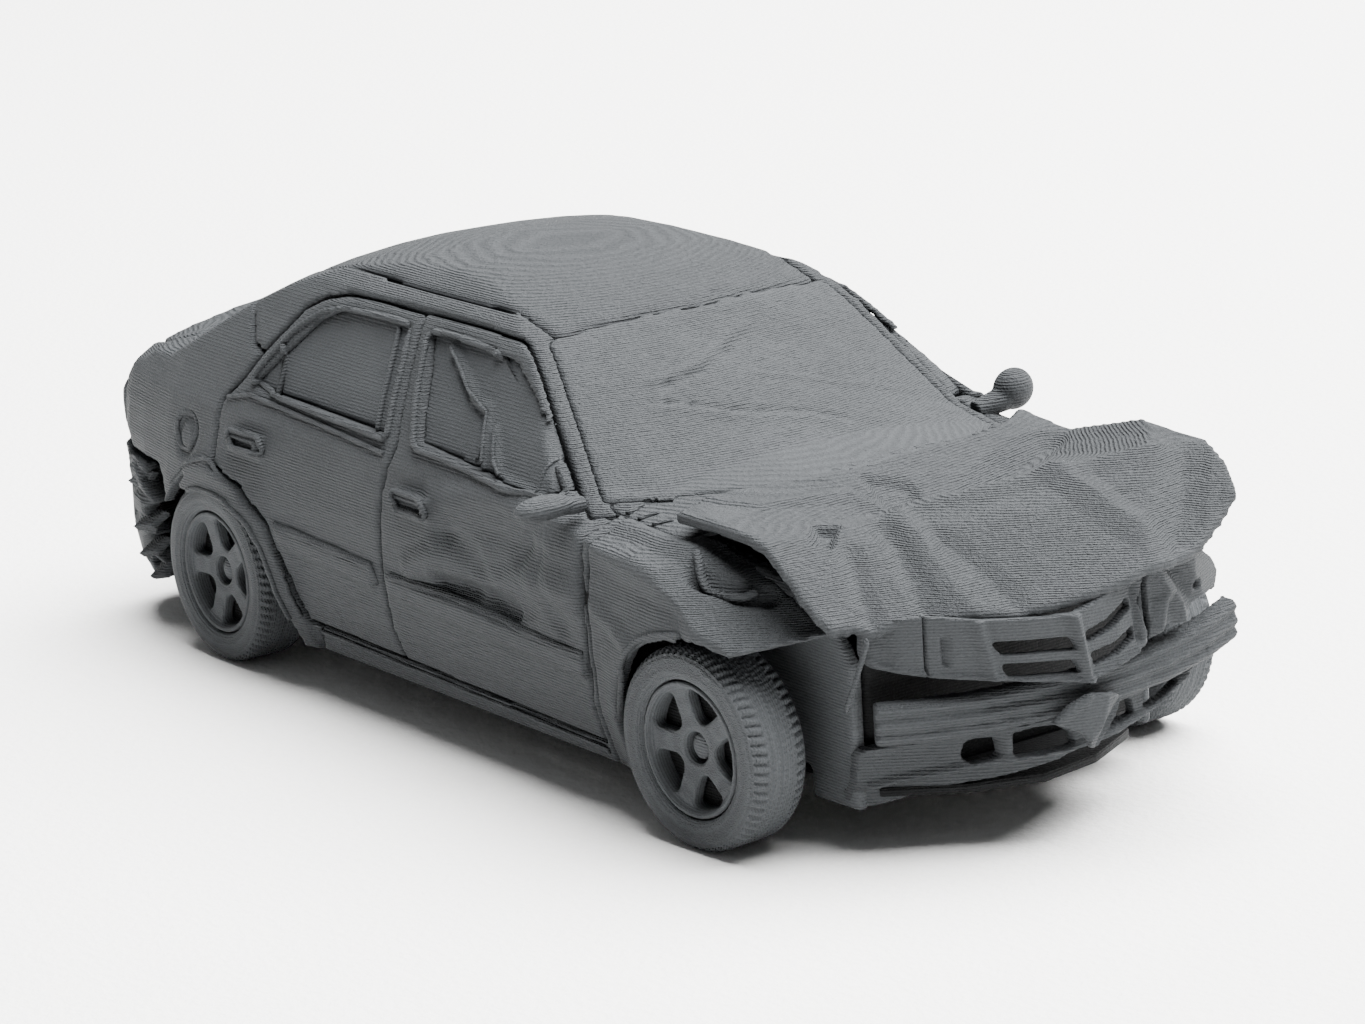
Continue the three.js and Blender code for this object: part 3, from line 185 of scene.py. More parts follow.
PRINT_GREY = (0.015, 0.0165, 0.018, 1)
PRINT_PALE = (0.046, 0.049, 0.052, 1)
# A brighter copy of the one grey plastic for the wheels and the underside: painted light that lifts their shaded
# faces
LIT_COPY_GREY = (0.031, 0.0335, 0.036, 1)
LIT_COPY_PALE = (0.062, 0.066, 0.070, 1)
# A near-black copy of the one grey plastic: painted shade for recesses, gaps and hollows
SHADE_PAINT_GREY = (0.004, 0.0043, 0.0046, 1)
SHADE_PAINT_PALE = (0.008, 0.0085, 0.009, 1)
LAYER_TURN = 2 * math.pi / (LAYER * MM)
TERRACE_HEIGHT = 0.0001
GRAZE = 0.1
WOBBLE_SCALE = 260.0
DRIFT_SCALE = 900.0
BREAK_SCALE = 2600.0
GRAIN_SCALE = 5200.0
THREAD_SCALE = 6800.0
MOTTLE_SCALE = 120.0


def printed_plastic(name, dark, pale, axis=(0, 0, 1), step=1.0, grain=1.0):
    """Matte plastic in layers along an axis, with the wavy terraces that they leave on shallow slopes, and painted
    sheen on the raised streaks and crests.
    """
    tree = Tree(name)
    where = tree.node("ShaderNodeTexCoord")[3]
    normal = tree.node("ShaderNodeNewGeometry")[1]
    along = tree.node("ShaderNodeVectorMath", {"operation": "DOT_PRODUCT"}, [where, axis])[1]
    facing = tree.node("ShaderNodeVectorMath", {"operation": "DOT_PRODUCT"}, [normal, axis])[1]
    stretch = tuple(0.3 + 1.3 * abs(part) for part in axis)
    streaked = tree.node("ShaderNodeVectorMath", {"operation": "MULTIPLY"}, [where, stretch])[0]
    wobble = tree.noise(where, WOBBLE_SCALE, 3.0)
    drift = tree.noise(where, DRIFT_SCALE, 2.0)
    broken = tree.noise(streaked, BREAK_SCALE, 3.0, 0.6)
    fine = tree.noise(where, GRAIN_SCALE, 2.0, 0.7)
    turns = along * LAYER_TURN + wobble * 1.6 + drift * 1.8
    level = facing.math("ABSOLUTE")
    shallow = (level * 2.2 - 1.0).clamped()
    ridge = turns.sine() * (1.0 - shallow) + (turns * 2.0).sine() * shallow
    reach = level * 0.48 + 0.17
    woven = tree.node("ShaderNodeVectorMath", {"operation": "MULTIPLY"}, [where, (1.0, 0.34, 1.4)])[0]
    thread = tree.noise(woven, THREAD_SCALE, 2.0, 0.65)
    terraces = ridge * reach * (broken * 3.0 - 0.8).clamped() * step
    height = terraces + fine * (0.8 * grain) + thread * level * (3.2 * step)
    bump = tree.node("ShaderNodeBump", {}, {"Strength": 1.0, "Distance": TERRACE_HEIGHT, "Height": height})[0]
    mottled = (tree.noise(where, MOTTLE_SCALE, 4.0) * 1.6 - 0.3).clamped()
    # Grain and mottle are the plastic's own tone; the thread and ridge terms lighten the raised streaks and
    # terrace crests as painted sheen
    grain_and_sheen = (fine * 0.45 + mottled * 0.2 + thread * 0.6 + ridge * 0.12 - 0.1).clamped()
    tree.feed(tree.shader.inputs["Base Color"], tree.mix(grain_and_sheen, dark, pale))
    tree.feed(tree.shader.inputs["Roughness"], fine * 0.2 + 0.6)
    tree.feed(tree.shader.inputs["Normal"], bump)
    tree.shader.inputs["Specular IOR Level"].default_value = GRAZE
    return tree.material


BODY = printed_plastic("body_print", PRINT_GREY, PRINT_PALE)
# The near-black copy is painted shade, not a second plastic
SHADE_PAINT = printed_plastic("shade_paint_print", SHADE_PAINT_GREY, SHADE_PAINT_PALE)
# The underside slot takes the brighter copy: painted light on shaded faces below
UNDERSIDE = printed_plastic("underside_print", LIT_COPY_GREY, LIT_COPY_PALE, step=0.8)
GLASS = printed_plastic("pane_print", PRINT_GREY, PRINT_PALE, step=0.6)
SLOT_MATERIALS = {"body_print": BODY, "pane_print": GLASS, "underside_print": UNDERSIDE}


# Marks that the crash and the panels' own lines leave: each one moves a piece's points

VIEWS = {
    "side": ((0, 2), (0, -1, 0)),
    "left side": ((0, 2), (0, 1, 0)),
    "top": ((0, 1), (0, 0, 1)),
    "screen": ((0, 1), (0.5, 0, 0.86)),
    "front": ((1, 2), (1, 0, 0)),
}


def edge_distance(points, line):
    """How far each flat point is from a line of points."""
    nearest = np.full(len(points), np.inf)
    for a, b in zip(line[:-1], line[1:]):
        run = np.subtract(b, a)
        share = np.clip((points - a) @ run / max(1e-9, run @ run), 0, 1)
        nearest = np.minimum(nearest, np.linalg.norm(points - a - share[:, None] * run, axis=1))
    return nearest


def inside(points, outline):
    """Which flat points lie inside an outline."""
    hit = np.zeros(len(points), bool)
    for a, b in zip(outline, [*outline[1:], outline[0]]):
        crosses = (a[1] > points[:, 1]) != (b[1] > points[:, 1])
        rise = (b[1] - a[1]) or 1e-9
        hit ^= crosses & (points[:, 0] < a[0] + (points[:, 1] - a[1]) / rise * (b[0] - a[0]))
    return hit


def smooth(share):
    share = np.clip(share, 0, 1)
    return share * share * (3 - 2 * share)


def fold(view, line, reach, lift, sharp=True, ragged=0.0, seed=0):
    """A crease or a ridge along a line, tent-shaped or rounded, with a torn line's uneven depth."""
    axes, direction = VIEWS[view]

    def move(points):
        flat = points[:, axes]
        share = np.clip(1 - edge_distance(flat, np.array(line, float)) / reach, 0, 1)
        amount = lift * (share if sharp else smooth(share))
        if ragged:
            waves = np.random.default_rng(seed).uniform(1.5, 6, (4, 2))
            uneven = sum(np.sin(flat @ wave + wave[0]) for wave in waves) / 2.4
            amount = amount * (1 - ragged + ragged * np.clip(uneven, -1, 1))
        points += amount[:, None] * np.array(direction)

    return move


def patch(view, outline, lift, soft=0.4):
    """A raised or sunken patch inside an outline, with a soft step at its edge."""
    axes, direction = VIEWS[view]
    closed = np.array([*outline, outline[0]], float)

    def move(points):
        flat = points[:, axes]
        depth = edge_distance(flat, closed) * np.where(inside(flat, outline), 1, -1)
        points += (lift * smooth(depth / soft + 0.5))[:, None] * np.array(direction)

    return move


def ring(view, centre, radius, width, lift):
    """A round groove or rim."""
    axes, direction = VIEWS[view]

    def move(points):
        far = np.abs(np.linalg.norm(points[:, axes] - np.array(centre), axis=1) - radius)
        points += (lift * smooth(1 - far / width))[:, None] * np.array(direction)

    return move


def rectangle(x, z, length, height):
    return [(x, z), (x + length, z), (x + length, z + height), (x, z + height)]


def handle(view, x, z):
    """A pull handle: a raised frame round a sunken grip."""
    frame_line = rectangle(x + 0.3, z + 0.2, 3.7, 0.7)
    return [
        patch(view, rectangle(x - 0.3, z - 0.35, 5.0, 1.8), 0.12, 0.3),
        fold(view, [*frame_line, frame_line[0]], 0.35, 0.22),
        patch(view, rectangle(x + 0.55, z + 0.35, 3.1, 0.4), -0.3, 0.3),
    ]


FRONT_DOOR_CRASH = [
    fold("side", [(30.5, 19.4), (34.5, 20.3), (38.5, 20.9), (44.5, 19.4)], 1.5, 0.3, sharp=False),
    fold("side", [(31.5, 16.8), (36.5, 18.3), (42.0, 18.4)], 2.1, -0.42, sharp=False),
    fold("side", [(36.8, 13.9), (42.3, 15.2), (48.5, 15.8)], 2.2, 0.5, sharp=False),
    fold("side", [(31.2, 13.4), (36.2, 13.2), (40.5, 12.9)], 1.2, -0.55, sharp=False),
    fold("side", [(37.6, 13.6), (35.6, 16.0), (31.4, 17.4)], 1.5, -0.25, sharp=False),
    fold("side", [(27.6, 13.6), (31.2, 15.4), (31.0, 17.4)], 1.6, 0.3, sharp=False),
    fold("side", [(44.5, 19.4), (44.0, 16.6), (46.8, 13.4)], 1.3, -0.28),
    fold("side", [(41.5, 16.8), (43.5, 19.8)], 0.9, -0.25),
]
REAR_ARCH_LINE = [
    (-6, 13.7), (-2.5, 16.2), (0.7, 17.2), (4.3, 16.5), (7.4, 14.7), (9.2, 12.7), (10.5, 9.9), (11.1, 6.5),
]
REAR_ARCH = [*REAR_ARCH_LINE, (11.1, 0), (-9, 0), (-9, 10)]
FENDER_CRASH = [
    fold("side", [(50.5, 19.6), (56.5, 18.9), (62.0, 18.0)], 1.3, 0.4),
    fold("side", [(51.0, 15.4), (54.9, 14.0)], 1.0, 0.35),
    fold("side", [(62.0, 18.0), (62.8, 15.4)], 1.4, 0.3),
    fold("top", [(50.5, -17.2), (56.5, -17.4), (61.5, -16.4)], 1.5, 0.45, sharp=False),
    fold("top", [(59.8, -18.4), (62.6, -17.2), (64.2, -15.6)], 0.9, -0.8),
]
WINDSCREEN_CRACKS = [
    fold("screen", [(41.2, -7.6), (41.1, -4.9), (41.0, -3.6), (39.6, -0.6), (38.5, 2.5)], 0.55, 0.2),
    fold("screen", [(41.6, -7.4), (41.5, -3.6), (40.1, -0.3), (39.2, 1.4)], 0.32, -0.26, ragged=0.4, seed=3),
    fold("screen", [(42.3, -8.7), (43.4, -6.2), (44.7, -3.2), (46.2, 2.1), (47.6, 4.5)], 0.34, -0.28,
         ragged=0.5, seed=5),
    fold("screen", [(42.9, -8.7), (44.0, -6.0), (45.3, -3.2), (46.9, 2.1)], 0.6, 0.14, ragged=0.3, seed=6),
    fold("screen", [(42.4, 0.5), (43.3, 3.5), (44.6, 7.0), (45.1, 11.1)], 0.4, 0.1, sharp=False),
    fold("screen", [(54.4, -2.3), (54.4, 0.6), (53.9, 3.6), (53.2, 8.8)], 0.36, -0.3, ragged=0.6, seed=8),
]
BONNET_FOLDS = [
    fold("top", [(65.3, -0.2), (61.4, 7.1), (59.3, 12.6)], 1.8, -0.7),
    fold("top", [(64.5, -3.7), (67.0, 0.0), (69.1, 4.9), (71.0, 8.4), (73.1, 12.8)], 1.7, 0.5),
    fold("top", [(69.1, 4.9), (75.2, 4.8), (79.8, 5.9)], 1.6, 0.55),
    fold("top", [(73.7, 12.7), (76.9, 9.4), (79.8, 5.9)], 1.8, -0.9),
    fold("top", [(67.5, -11.3), (69.7, -12.2), (71.5, -12.7)], 1.1, -0.5),
    fold("top", [(65.4, -5.6), (70.4, -6.8), (75.0, -7.2)], 1.3, 0.4),
    fold("top", [(66.6, -7.6), (71.4, -8.9), (74.0, -9.6)], 1.2, -0.45),
    fold("top", [(69.1, -5.2), (73.0, -4.6), (76.5, -4.6)], 1.1, -0.3),
    fold("top", [(53.5, -14.0), (59.0, -12.1), (60.4, -5.6), (62.8, -4.4)], 0.9, 0.25),
    patch("top", [(63.6, -10.9), (64.6, -10.0), (66.5, -12.0), (65.8, -13.0)], -0.8, 0.7),
    patch("top", [(58.8, -3.2), (60.6, -0.6), (64.2, -1.6), (63.0, -4.0)], -0.45, 0.8),
    ring("top", (70.1, -13.8), 0.0, 0.22, -0.4),
    ring("top", (70.7, -13.3), 0.0, 0.22, -0.4),
]
PANE_CRACKS = [
    fold("side", [(26.0, 28.6), (28.0, 27.6), (31.5, 25.8), (33.4, 25.6), (35.2, 22.0)], 0.45, 0.35),
    fold("side", [(26.4, 27.9), (31.0, 25.3), (32.8, 25.0), (34.4, 22.0)], 0.35, -0.3, ragged=0.5, seed=9),
    fold("side", [(35.0, 24.4), (37.3, 21.7), (42.7, 21.3)], 0.5, 0.4),
    fold("side", [(42.6, 21.4), (42.2, 24.4)], 0.4, 0.3),
]
MARKS = {
    "door_front_right": [*FRONT_DOOR_CRASH, *handle("side", 26.2, 17.9)],
    "door_rear_right": handle("side", 3.0, 18.3),
    "door_front_left": handle("left side", 26.2, 17.9),
    "door_rear_left": handle("left side", 3.0, 18.3),
    "quarter_panel_right": [
        patch("side", REAR_ARCH, 0.3, 0.5),
        ring("side", (-3.9, 17.9), 1.35, 0.7, -0.3),
    ],
    "quarter_panel_left": [patch("left side", REAR_ARCH, 0.3, 0.5)],
    "fender_right": FENDER_CRASH,
    "rear_bumper": [
        fold("side", [(-19, 13.4), (-14, 13.8), (-11.0, 12.8)], 0.5, -0.6),
        fold("side", [(-18, 11.0), (-14, 11.6), (-11.5, 11.0)], 0.6, -0.6),
        fold("side", [(-18, 8.6), (-14, 9.4), (-12, 8.4)], 0.6, -0.5),
        fold("side", [(-16, 5.4), (-13.6, 7.2), (-12.4, 6.4)], 0.6, -0.5),
    ],
    "windscreen": WINDSCREEN_CRACKS,
    "bonnet": BONNET_FOLDS,
    "pane_front_right": PANE_CRACKS,
}

# Printed copies of the pieces: softened edges, then the marks

VOXELS = {
    "bonnet": 0.26, "windscreen": 0.28, "roof": 0.45, "fender_right": 0.2, "door_front_right": 0.23,
    "door_rear_right": 0.25, "side_frame_right": 0.24, "quarter_panel_right": 0.25, "pane_front_right": 0.2,
    "side_frame_left": 0.42, "door_front_left": 0.4, "door_rear_left": 0.4, "quarter_panel_left": 0.4,
    "fender_left": 0.4, "pane_front_left": 0.4, "pane_rear_left": 0.4, "inner_wing_left": 0.4,
    "rear_bumper": 0.38, "bumper_bar": 0.18, "lamp_strut": 0.12, "mirror_right": 0.15, "floor_pan": 0.8,
    "bulkhead": 0.5, "boot_lid": 0.34, "rear_window": 0.36, "cowl_panel": 0.22, "rear_axle": 0.36,
    "front_axle": 0.36, "knuckle_right": 0.22, "knuckle_left": 0.3, "radiator_panel": 0.4,
    "inner_wing_right": 0.26,
}
RIM_VOXELS = {"front_right": 0.165, "rear_right": 0.165, "front_left": 0.26, "rear_left": 0.26}
PANEL_VOXEL = 0.22
SWELL = 0.07
PANEL_ROUNDS = 3
FINE_ROUNDS = 2
BODY_OF = {node: body for body, nodes in frame["record"]["behaviour"]["bodies"].items() for node in nodes}
SLOT_OF = {row["node"]: row["material_slot"] for row in frame["record"]["subparts"]}


def points_of(mesh):
    points = np.empty(len(mesh.vertices) * 3)
    mesh.vertices.foreach_get("co", points)
    return points.reshape(-1, 3)


def normals_of(mesh):
    normals = np.empty(len(mesh.vertices) * 3)
    mesh.vertices.foreach_get("normal", normals)
    return normals.reshape(-1, 3)


def link(name, mesh):
    made = bpy.data.objects.new(name, mesh)
    bpy.context.scene.collection.objects.link(made)
    return made


def reskinned(name, rough, voxel, rounds):
    """A rough solid's shape in one even skin, softened in a number of rounds."""
    blank = link("blank_" + name, rough)
    skin = blank.modifiers.new("skin", "REMESH")
    skin.mode = "VOXEL"
    skin.voxel_size = voxel
    if rounds:
        ease = blank.modifiers.new("ease", "SMOOTH")
        ease.factor = 0.5
        ease.iterations = rounds
    graph = bpy.context.evaluated_depsgraph_get()
    mesh = bpy.data.meshes.new_from_object(blank.evaluated_get(graph))
    bpy.data.objects.remove(blank)
    return mesh


def keep_in_box(mesh, points):
    """Gives the mesh its new points, none of them outside the CAD model's box."""
    mesh.vertices.foreach_set("co", np.clip(points, BOX_LOW, BOX_HIGH).ravel())


def add_piece(name, mesh, nodes, body, material, to_frame=TO_FRAME):
    """A mesh in millimetres as a piece of the visual model, in place of the nodes that it replaces."""
    mesh.transform(to_frame)
    mesh.name = name
    mesh.materials.clear()
    mesh.materials.append(material)
    mesh.polygons.foreach_set("use_smooth", [True] * len(mesh.polygons))
    piece = link(name, mesh)
    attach(piece, body)
    if nodes:
        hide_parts(*nodes)


def printed_copy(node, voxel, material, marks=()):
    """A node's own shape as the printer leaves it, with rounded edges and its marks pressed in."""
    rough = frame["nodes"][node].data.copy()
    rough.transform(TO_CAR)
    mesh = reskinned(node, rough, voxel, PANEL_ROUNDS)
    points = points_of(mesh) + SWELL * normals_of(mesh)
    for mark in marks:
        mark(points)
    keep_in_box(mesh, points)
    add_piece("print_" + node, mesh, [node], BODY_OF[node], material)


# The torn nose: sheets drawn in the front view as [y, z] outlines, bent to the line of the nose

NOSE_LINE = [
    (-15.5, 68.5), (-13.9, 70.4), (-11.6, 72.2), (-8.3, 74.9), (-4.6, 77.6), (-1.7, 79.2), (1.4, 79.4),
    (5.0, 79.0), (9.4, 78.2), (13.4, 75.8), (16.0, 73.8),
]
SHEET_VOXEL = 0.13
LAMP_RIGHT = [
    (-13.1, 17.0), (-13.25, 15.2), (-13.2, 14.4), (-12.75, 13.85), (-11.4, 13.4), (-10.1, 13.1),
    (-10.1, 17.2),
]
GRILLE = [
    (-9.95, 17.2), (-9.95, 13.05), (-8.0, 12.8), (-6.1, 12.6), (-4.5, 12.4), (-2.6, 12.2), (-1.2, 12.0),
    (0.7, 12.4), (3.2, 13.0), (4.1, 13.3), (4.2, 14.2), (3.4, 16.5), (4.0, 18.4), (2.5, 18.6),
    (0.3, 17.6), (-1.5, 16.9), (-3.3, 16.7), (-6.9, 16.8),
]
GRILLE_SLOTS = [
    [(-6.7, 15.25), (-2.2, 15.25), (-1.8, 14.35), (-6.1, 14.35)],
    [(-6.2, 13.75), (-2.0, 13.65), (-1.65, 12.75), (-5.8, 12.85)],
    [(-1.3, 15.4), (0.4, 15.9), (2.3, 17.05), (2.7, 16.3), (0.8, 15.2), (-1.1, 14.65)],
    [(-0.9, 13.9), (1.0, 14.2), (2.8, 15.0), (3.2, 14.2), (1.4, 13.4), (-0.6, 12.95)],
]
LAMP_LEFT = [
    (4.35, 13.5), (4.45, 15.0), (4.2, 18.5), (4.7, 18.9), (8.6, 19.4), (12.6, 16.9), (13.6, 15.7),
    (13.0, 14.6), (10.6, 14.9), (8.9, 14.4), (7.6, 14.0), (5.5, 14.1),
]
COVER = [
    (-13.0, 8.0), (-11.7, 8.3), (-9.9, 8.5), (-7.8, 8.8), (-5.3, 9.2), (-2.7, 9.6), (0, 9.9), (3, 10.2),
    (6, 10.5), (9.5, 11.3), (12.4, 11.9), (12.6, 10.6), (10.6, 9.7), (8.9, 9.0), (6.3, 8.0), (3.6, 7.2),
    (1.5, 6.8), (-1.1, 6.4), (-2.8, 5.9), (-5.5, 5.3), (-7.6, 5.0), (-10.0, 4.3), (-11.4, 3.8), (-12.9, 3.6),
    (-13.2, 5.8),
]
COVER_OPENINGS = [
    [(-7.75, 7.2), (-7.6, 8.1), (-7.1, 8.35), (-5.75, 8.45), (-5.65, 7.1), (-7.3, 6.7)],
    [(-5.0, 8.6), (-3.9, 8.85), (-2.4, 8.9), (-1.4, 8.2), (-1.3, 7.5), (-3.2, 7.15), (-5.0, 7.0)],
    [(1.2, 9.2), (3.6, 9.5), (4.0, 8.3), (1.1, 7.8)],
    [(4.8, 9.5), (8.6, 10.4), (8.4, 9.4), (6.6, 8.7), (4.9, 8.4)],
]
COVER_LIP = [
    (-12.6, 5.2), (-11.0, 5.7), (-8.9, 6.1), (-7.0, 6.5), (-4.7, 6.8), (-1.1, 7.2), (2.3, 7.5), (6.3, 8.3),
    (10.4, 9.8),
]
COVER_APRON = [*COVER_LIP, (10, 5), (0, 2), (-14, 2), (-14, 5)]
FLAP = [
    (-3.8, 9.6), (-2.8, 10.7), (-1.7, 11.4), (0.4, 11.1), (1.6, 10.4), (1.0, 9.3), (0.1, 8.2), (-0.8, 7.4),
    (-1.5, 7.6), (-2.0, 8.7),
]
SHEETS = {
    "headlamp_right": (LAMP_RIGHT, [], 0.7, 0.0, [
        fold("front", [(-13.0, 14.5), (-12.6, 14.0), (-11.4, 13.6), (-10.1, 13.3)], 0.35, 0.3),
        fold("front", [(-12.2, 17.0), (-12.0, 14.0)], 0.8, -0.25, sharp=False)]),
    "grille_panel": (GRILLE, GRILLE_SLOTS, 0.8, 0.0, [
        fold("front", [(-9.0, 15.6), (-8.95, 14.0)], 0.3, -0.5),
        fold("front", [(-7.4, 16.6), (-6.6, 12.6)], 0.5, 0.35),
        fold("front", [(-2.1, 16.6), (-1.2, 12.1)], 0.55, 0.5),
        fold("front", [(-9.9, 13.2), (-6.1, 12.75), (-2.6, 12.35), (-1.2, 12.1), (3.2, 13.1)], 0.3, 0.3),
        fold("front", [(2.9, 17.6), (3.4, 14.0)], 0.5, -0.5)]),
    "headlamp_left": (LAMP_LEFT, [], 0.7, -0.1, [
        fold("front", [(4.6, 18.6), (5.9, 16.6), (5.2, 14.2)], 0.9, 0.7),
        fold("front", [(5.0, 18.8), (7.4, 15.6), (7.7, 14.1)], 0.9, 0.6),
        fold("front", [(6.3, 18.9), (9.4, 14.9)], 1.2, -0.7),
        ring("front", (9.9, 15.9), 0.0, 0.5, -0.8)]),
    "bumper_cover": (COVER, COVER_OPENINGS, 0.9, -1.4, [
        fold("front", [(-13.0, 7.9), (-9.9, 8.35), (-5.3, 9.05), (-2.7, 9.45), (0, 9.75), (9.5, 11.1)],
             0.4, 0.5),
        fold("front", COVER_LIP, 0.55, 0.9),
        patch("front", COVER_APRON, -1.1, 1.4),
        fold("front", [(-5.35, 8.6), (-5.35, 7.0)], 0.4, 0.35)]),
    "bumper_flap": (FLAP, [], 0.5, 0.5, [
        fold("front", [(-3.6, 9.6), (-1.6, 11.2)], 0.5, 0.3),
        fold("front", [(1.4, 10.3), (-0.9, 7.6)], 0.9, -0.7),
        fold("front", [(-0.2, 11.0), (-1.2, 7.6)], 1.0, 0.35)]),
}


def flat_plate(name, outline, holes, thickness):
    """A plate in the front view, with its openings."""
    loops = [[Vector((0, y, z)) for y, z in loop] for loop in (outline, *holes)]
    flat = [Vector((p.y, p.z, 0)) for loop in loops for p in loop]
    triangles = tessellate_polygon([[Vector((p.y, p.z, 0)) for p in loop] for loop in loops])
    count = len(flat)
    points = [(0, p.x, p.y) for p in flat] + [(-thickness, p.x, p.y) for p in flat]
    faces = []
    for a, b, c in triangles:
        turn = (flat[b] - flat[a]).cross(flat[c] - flat[a]).z
        a, b, c = (a, b, c) if turn > 0 else (a, c, b)
        faces += [(a, b, c), (a + count, c + count, b + count)]
    start = 0
    for loop in loops:
        for i in range(len(loop)):
            a, b = start + i, start + (i + 1) % len(loop)
            faces.append((a, b, b + count, a + count))
        start += len(loop)
    mesh = bpy.data.meshes.new("blank_" + name)
    mesh.from_pydata(points, [], faces)
    solid = bmesh.new()
    solid.from_mesh(mesh)
    bmesh.ops.recalc_face_normals(solid, faces=solid.faces)
    solid.to_mesh(mesh)
    solid.free()
    return mesh


def add_sheet(node, outline, holes, thickness, ahead, marks):
    """One torn sheet of the nose: a fine plate, bent along the nose line, with its folds."""
    mesh = reskinned(node, flat_plate(node, outline, holes, thickness), SHEET_VOXEL, FINE_ROUNDS)
    points = points_of(mesh)
    ys, xs = zip(*NOSE_LINE)
    points[:, 0] += np.interp(points[:, 1], ys, xs) + ahead
    for mark in marks:
        mark(points)
    keep_in_box(mesh, points)
    add_piece("print_" + node, mesh, [node], BODY_OF[node], BODY)


for sheet_node, sheet_parts in SHEETS.items():
    add_sheet(sheet_node, *sheet_parts)


# Inner pieces of the engine bay and under the car take the near-black copy: painted shade
SHADE_PAINTED_NODES = ("radiator_panel", "bulkhead", "floor_pan", "front_axle")


def add_body():
    for node, slot in SLOT_OF.items():
        if slot in SLOT_MATERIALS and node not in SHEETS and node != "mirror_left":
            material = SHADE_PAINT if node in SHADE_PAINTED_NODES else SLOT_MATERIALS[slot]
            printed_copy(node, VOXELS.get(node, PANEL_VOXEL), material, MARKS.get(node, ()))


add_body()


# A thin shell behind the gaps between the panels, so that no light passes through them; its near-black colour is
# painted shade in the gaps

LINED = [
    "roof", "windscreen", "rear_window", "boot_lid", "tail_panel", "cowl_panel",
    "door_front_right", "door_rear_right", "side_frame_right", "quarter_panel_right", "fender_right",
    "tail_lamp_right", "tail_lamp_left", "side_frame_left",
]
LINING_VOXEL = 0.7
LINING_DEPTH = 0.36
LINING_BACK = 0.12
CRASHED_SIDE = -13.0


def add_lining():
    whole = bmesh.new()
    for node in LINED:
        mesh = frame["nodes"][node].data.copy()
        mesh.transform(TO_CAR)
        whole.from_mesh(mesh)
        bpy.data.meshes.remove(mesh)
    rough = bpy.data.meshes.new("lining_blank")
    whole.to_mesh(rough)
    whole.free()
    mesh = reskinned("lining", rough, LINING_VOXEL, 0)
    points = points_of(mesh) - LINING_DEPTH * normals_of(mesh)
    crashed = points[:, 1] < CRASHED_SIDE
    dented = points[crashed]
    for mark in (*FRONT_DOOR_CRASH, *FENDER_CRASH):
        mark(dented)
    dented[:, 1] += LINING_BACK
    points[crashed] = dented
    mesh.vertices.foreach_set("co", points.ravel())
    add_piece("lining", mesh, [], "root", SHADE_PAINT)


add_lining()


# The far mirror's rounded head on its short neck, and the torn strips of the rear bumper

MIRROR_HEAD = ((46.5, 20.4, 22.1), (1.25, 1.65, 1.55))
MIRROR_NECK = ((46.5, 19.8, 21.6), (46.2, 17.0, 21.0), 0.75)
NECK_FLARE = 1.3
MIRROR_VOXEL = 0.14
SHARDS = [
    [(-11.4, -18.8, 13.4), (-14.0, -18.7, 12.8), (-15.0, -19.3, 12.0), (-12.6, -19.2, 11.6)],
    [(-11.0, -18.2, 10.0), (-13.8, -17.8, 9.6), (-14.0, -19.8, 8.4), (-12.0, -19.2, 8.8)],
    [(-11.4, -18.0, 7.8), (-13.8, -17.6, 7.4), (-13.8, -19.6, 6.2), (-12.0, -19.0, 6.6)],
    [(-11.8, -17.6, 5.8), (-14.0, -17.0, 5.4), (-13.6, -18.9, 4.2), (-12.2, -18.3, 4.5)],
]
SHARD_THICKNESS = 0.6
SHARD_VOXEL = 0.12


def sculpted(name, solid, voxel, nodes):
    """A softened printed piece from a rough solid in car millimetres."""
    rough = bpy.data.meshes.new("blank_" + name)
    solid.to_mesh(rough)
    solid.free()
    mesh = reskinned(name, rough, voxel, FINE_ROUNDS)
    keep_in_box(mesh, points_of(mesh))
    add_piece(name, mesh, nodes, "root", BODY)


def add_far_mirror():
    centre, half = MIRROR_HEAD
    solid = bmesh.new()
    shape = Matrix.Translation(centre) @ Matrix.Diagonal((*half, 1))
    bmesh.ops.create_uvsphere(solid, u_segments=32, v_segments=20, radius=1, matrix=shape)
    near, far, radius = Vector(MIRROR_NECK[0]), Vector(MIRROR_NECK[1]), MIRROR_NECK[2]
    turn = (far - near).to_track_quat("Z", "Y").to_matrix().to_4x4()
    bmesh.ops.create_cone(solid, cap_ends=True, segments=20, radius1=radius * NECK_FLARE, radius2=radius,
                          depth=(far - near).length, matrix=Matrix.Translation((near + far) / 2) @ turn)
    sculpted("print_mirror_left", solid, MIRROR_VOXEL, ["mirror_left"])


def add_shards():
    solid = bmesh.new()
    for corners in SHARDS:
        flat = [Vector(p) for p in corners]
        normal = (flat[1] - flat[0]).cross(flat[3] - flat[0]).normalized() * (SHARD_THICKNESS / 2)
        upper = [solid.verts.new(p + normal) for p in flat]
        lower = [solid.verts.new(p - normal) for p in flat]
        solid.faces.new(upper)
        solid.faces.new(lower[::-1])
        for i in range(4):
            k = (i + 1) % 4
            solid.faces.new((upper[k], upper[i], lower[i], lower[k]))
    bmesh.ops.recalc_face_normals(solid, faces=solid.faces)
    sculpted("rear_bumper_shards", solid, SHARD_VOXEL, [])


add_far_mirror()
add_shards()


# A plain tray that closes the nose from below, near black: painted shade under the nose

TRAY = [(62.0, -11.5), (70.0, -11.5), (73.4, -7.0), (75.4, -2.0), (74.8, 3.0), (72.4, 8.0), (62.0, 10.0)]
TRAY_LEVELS = (4.4, 5.0)


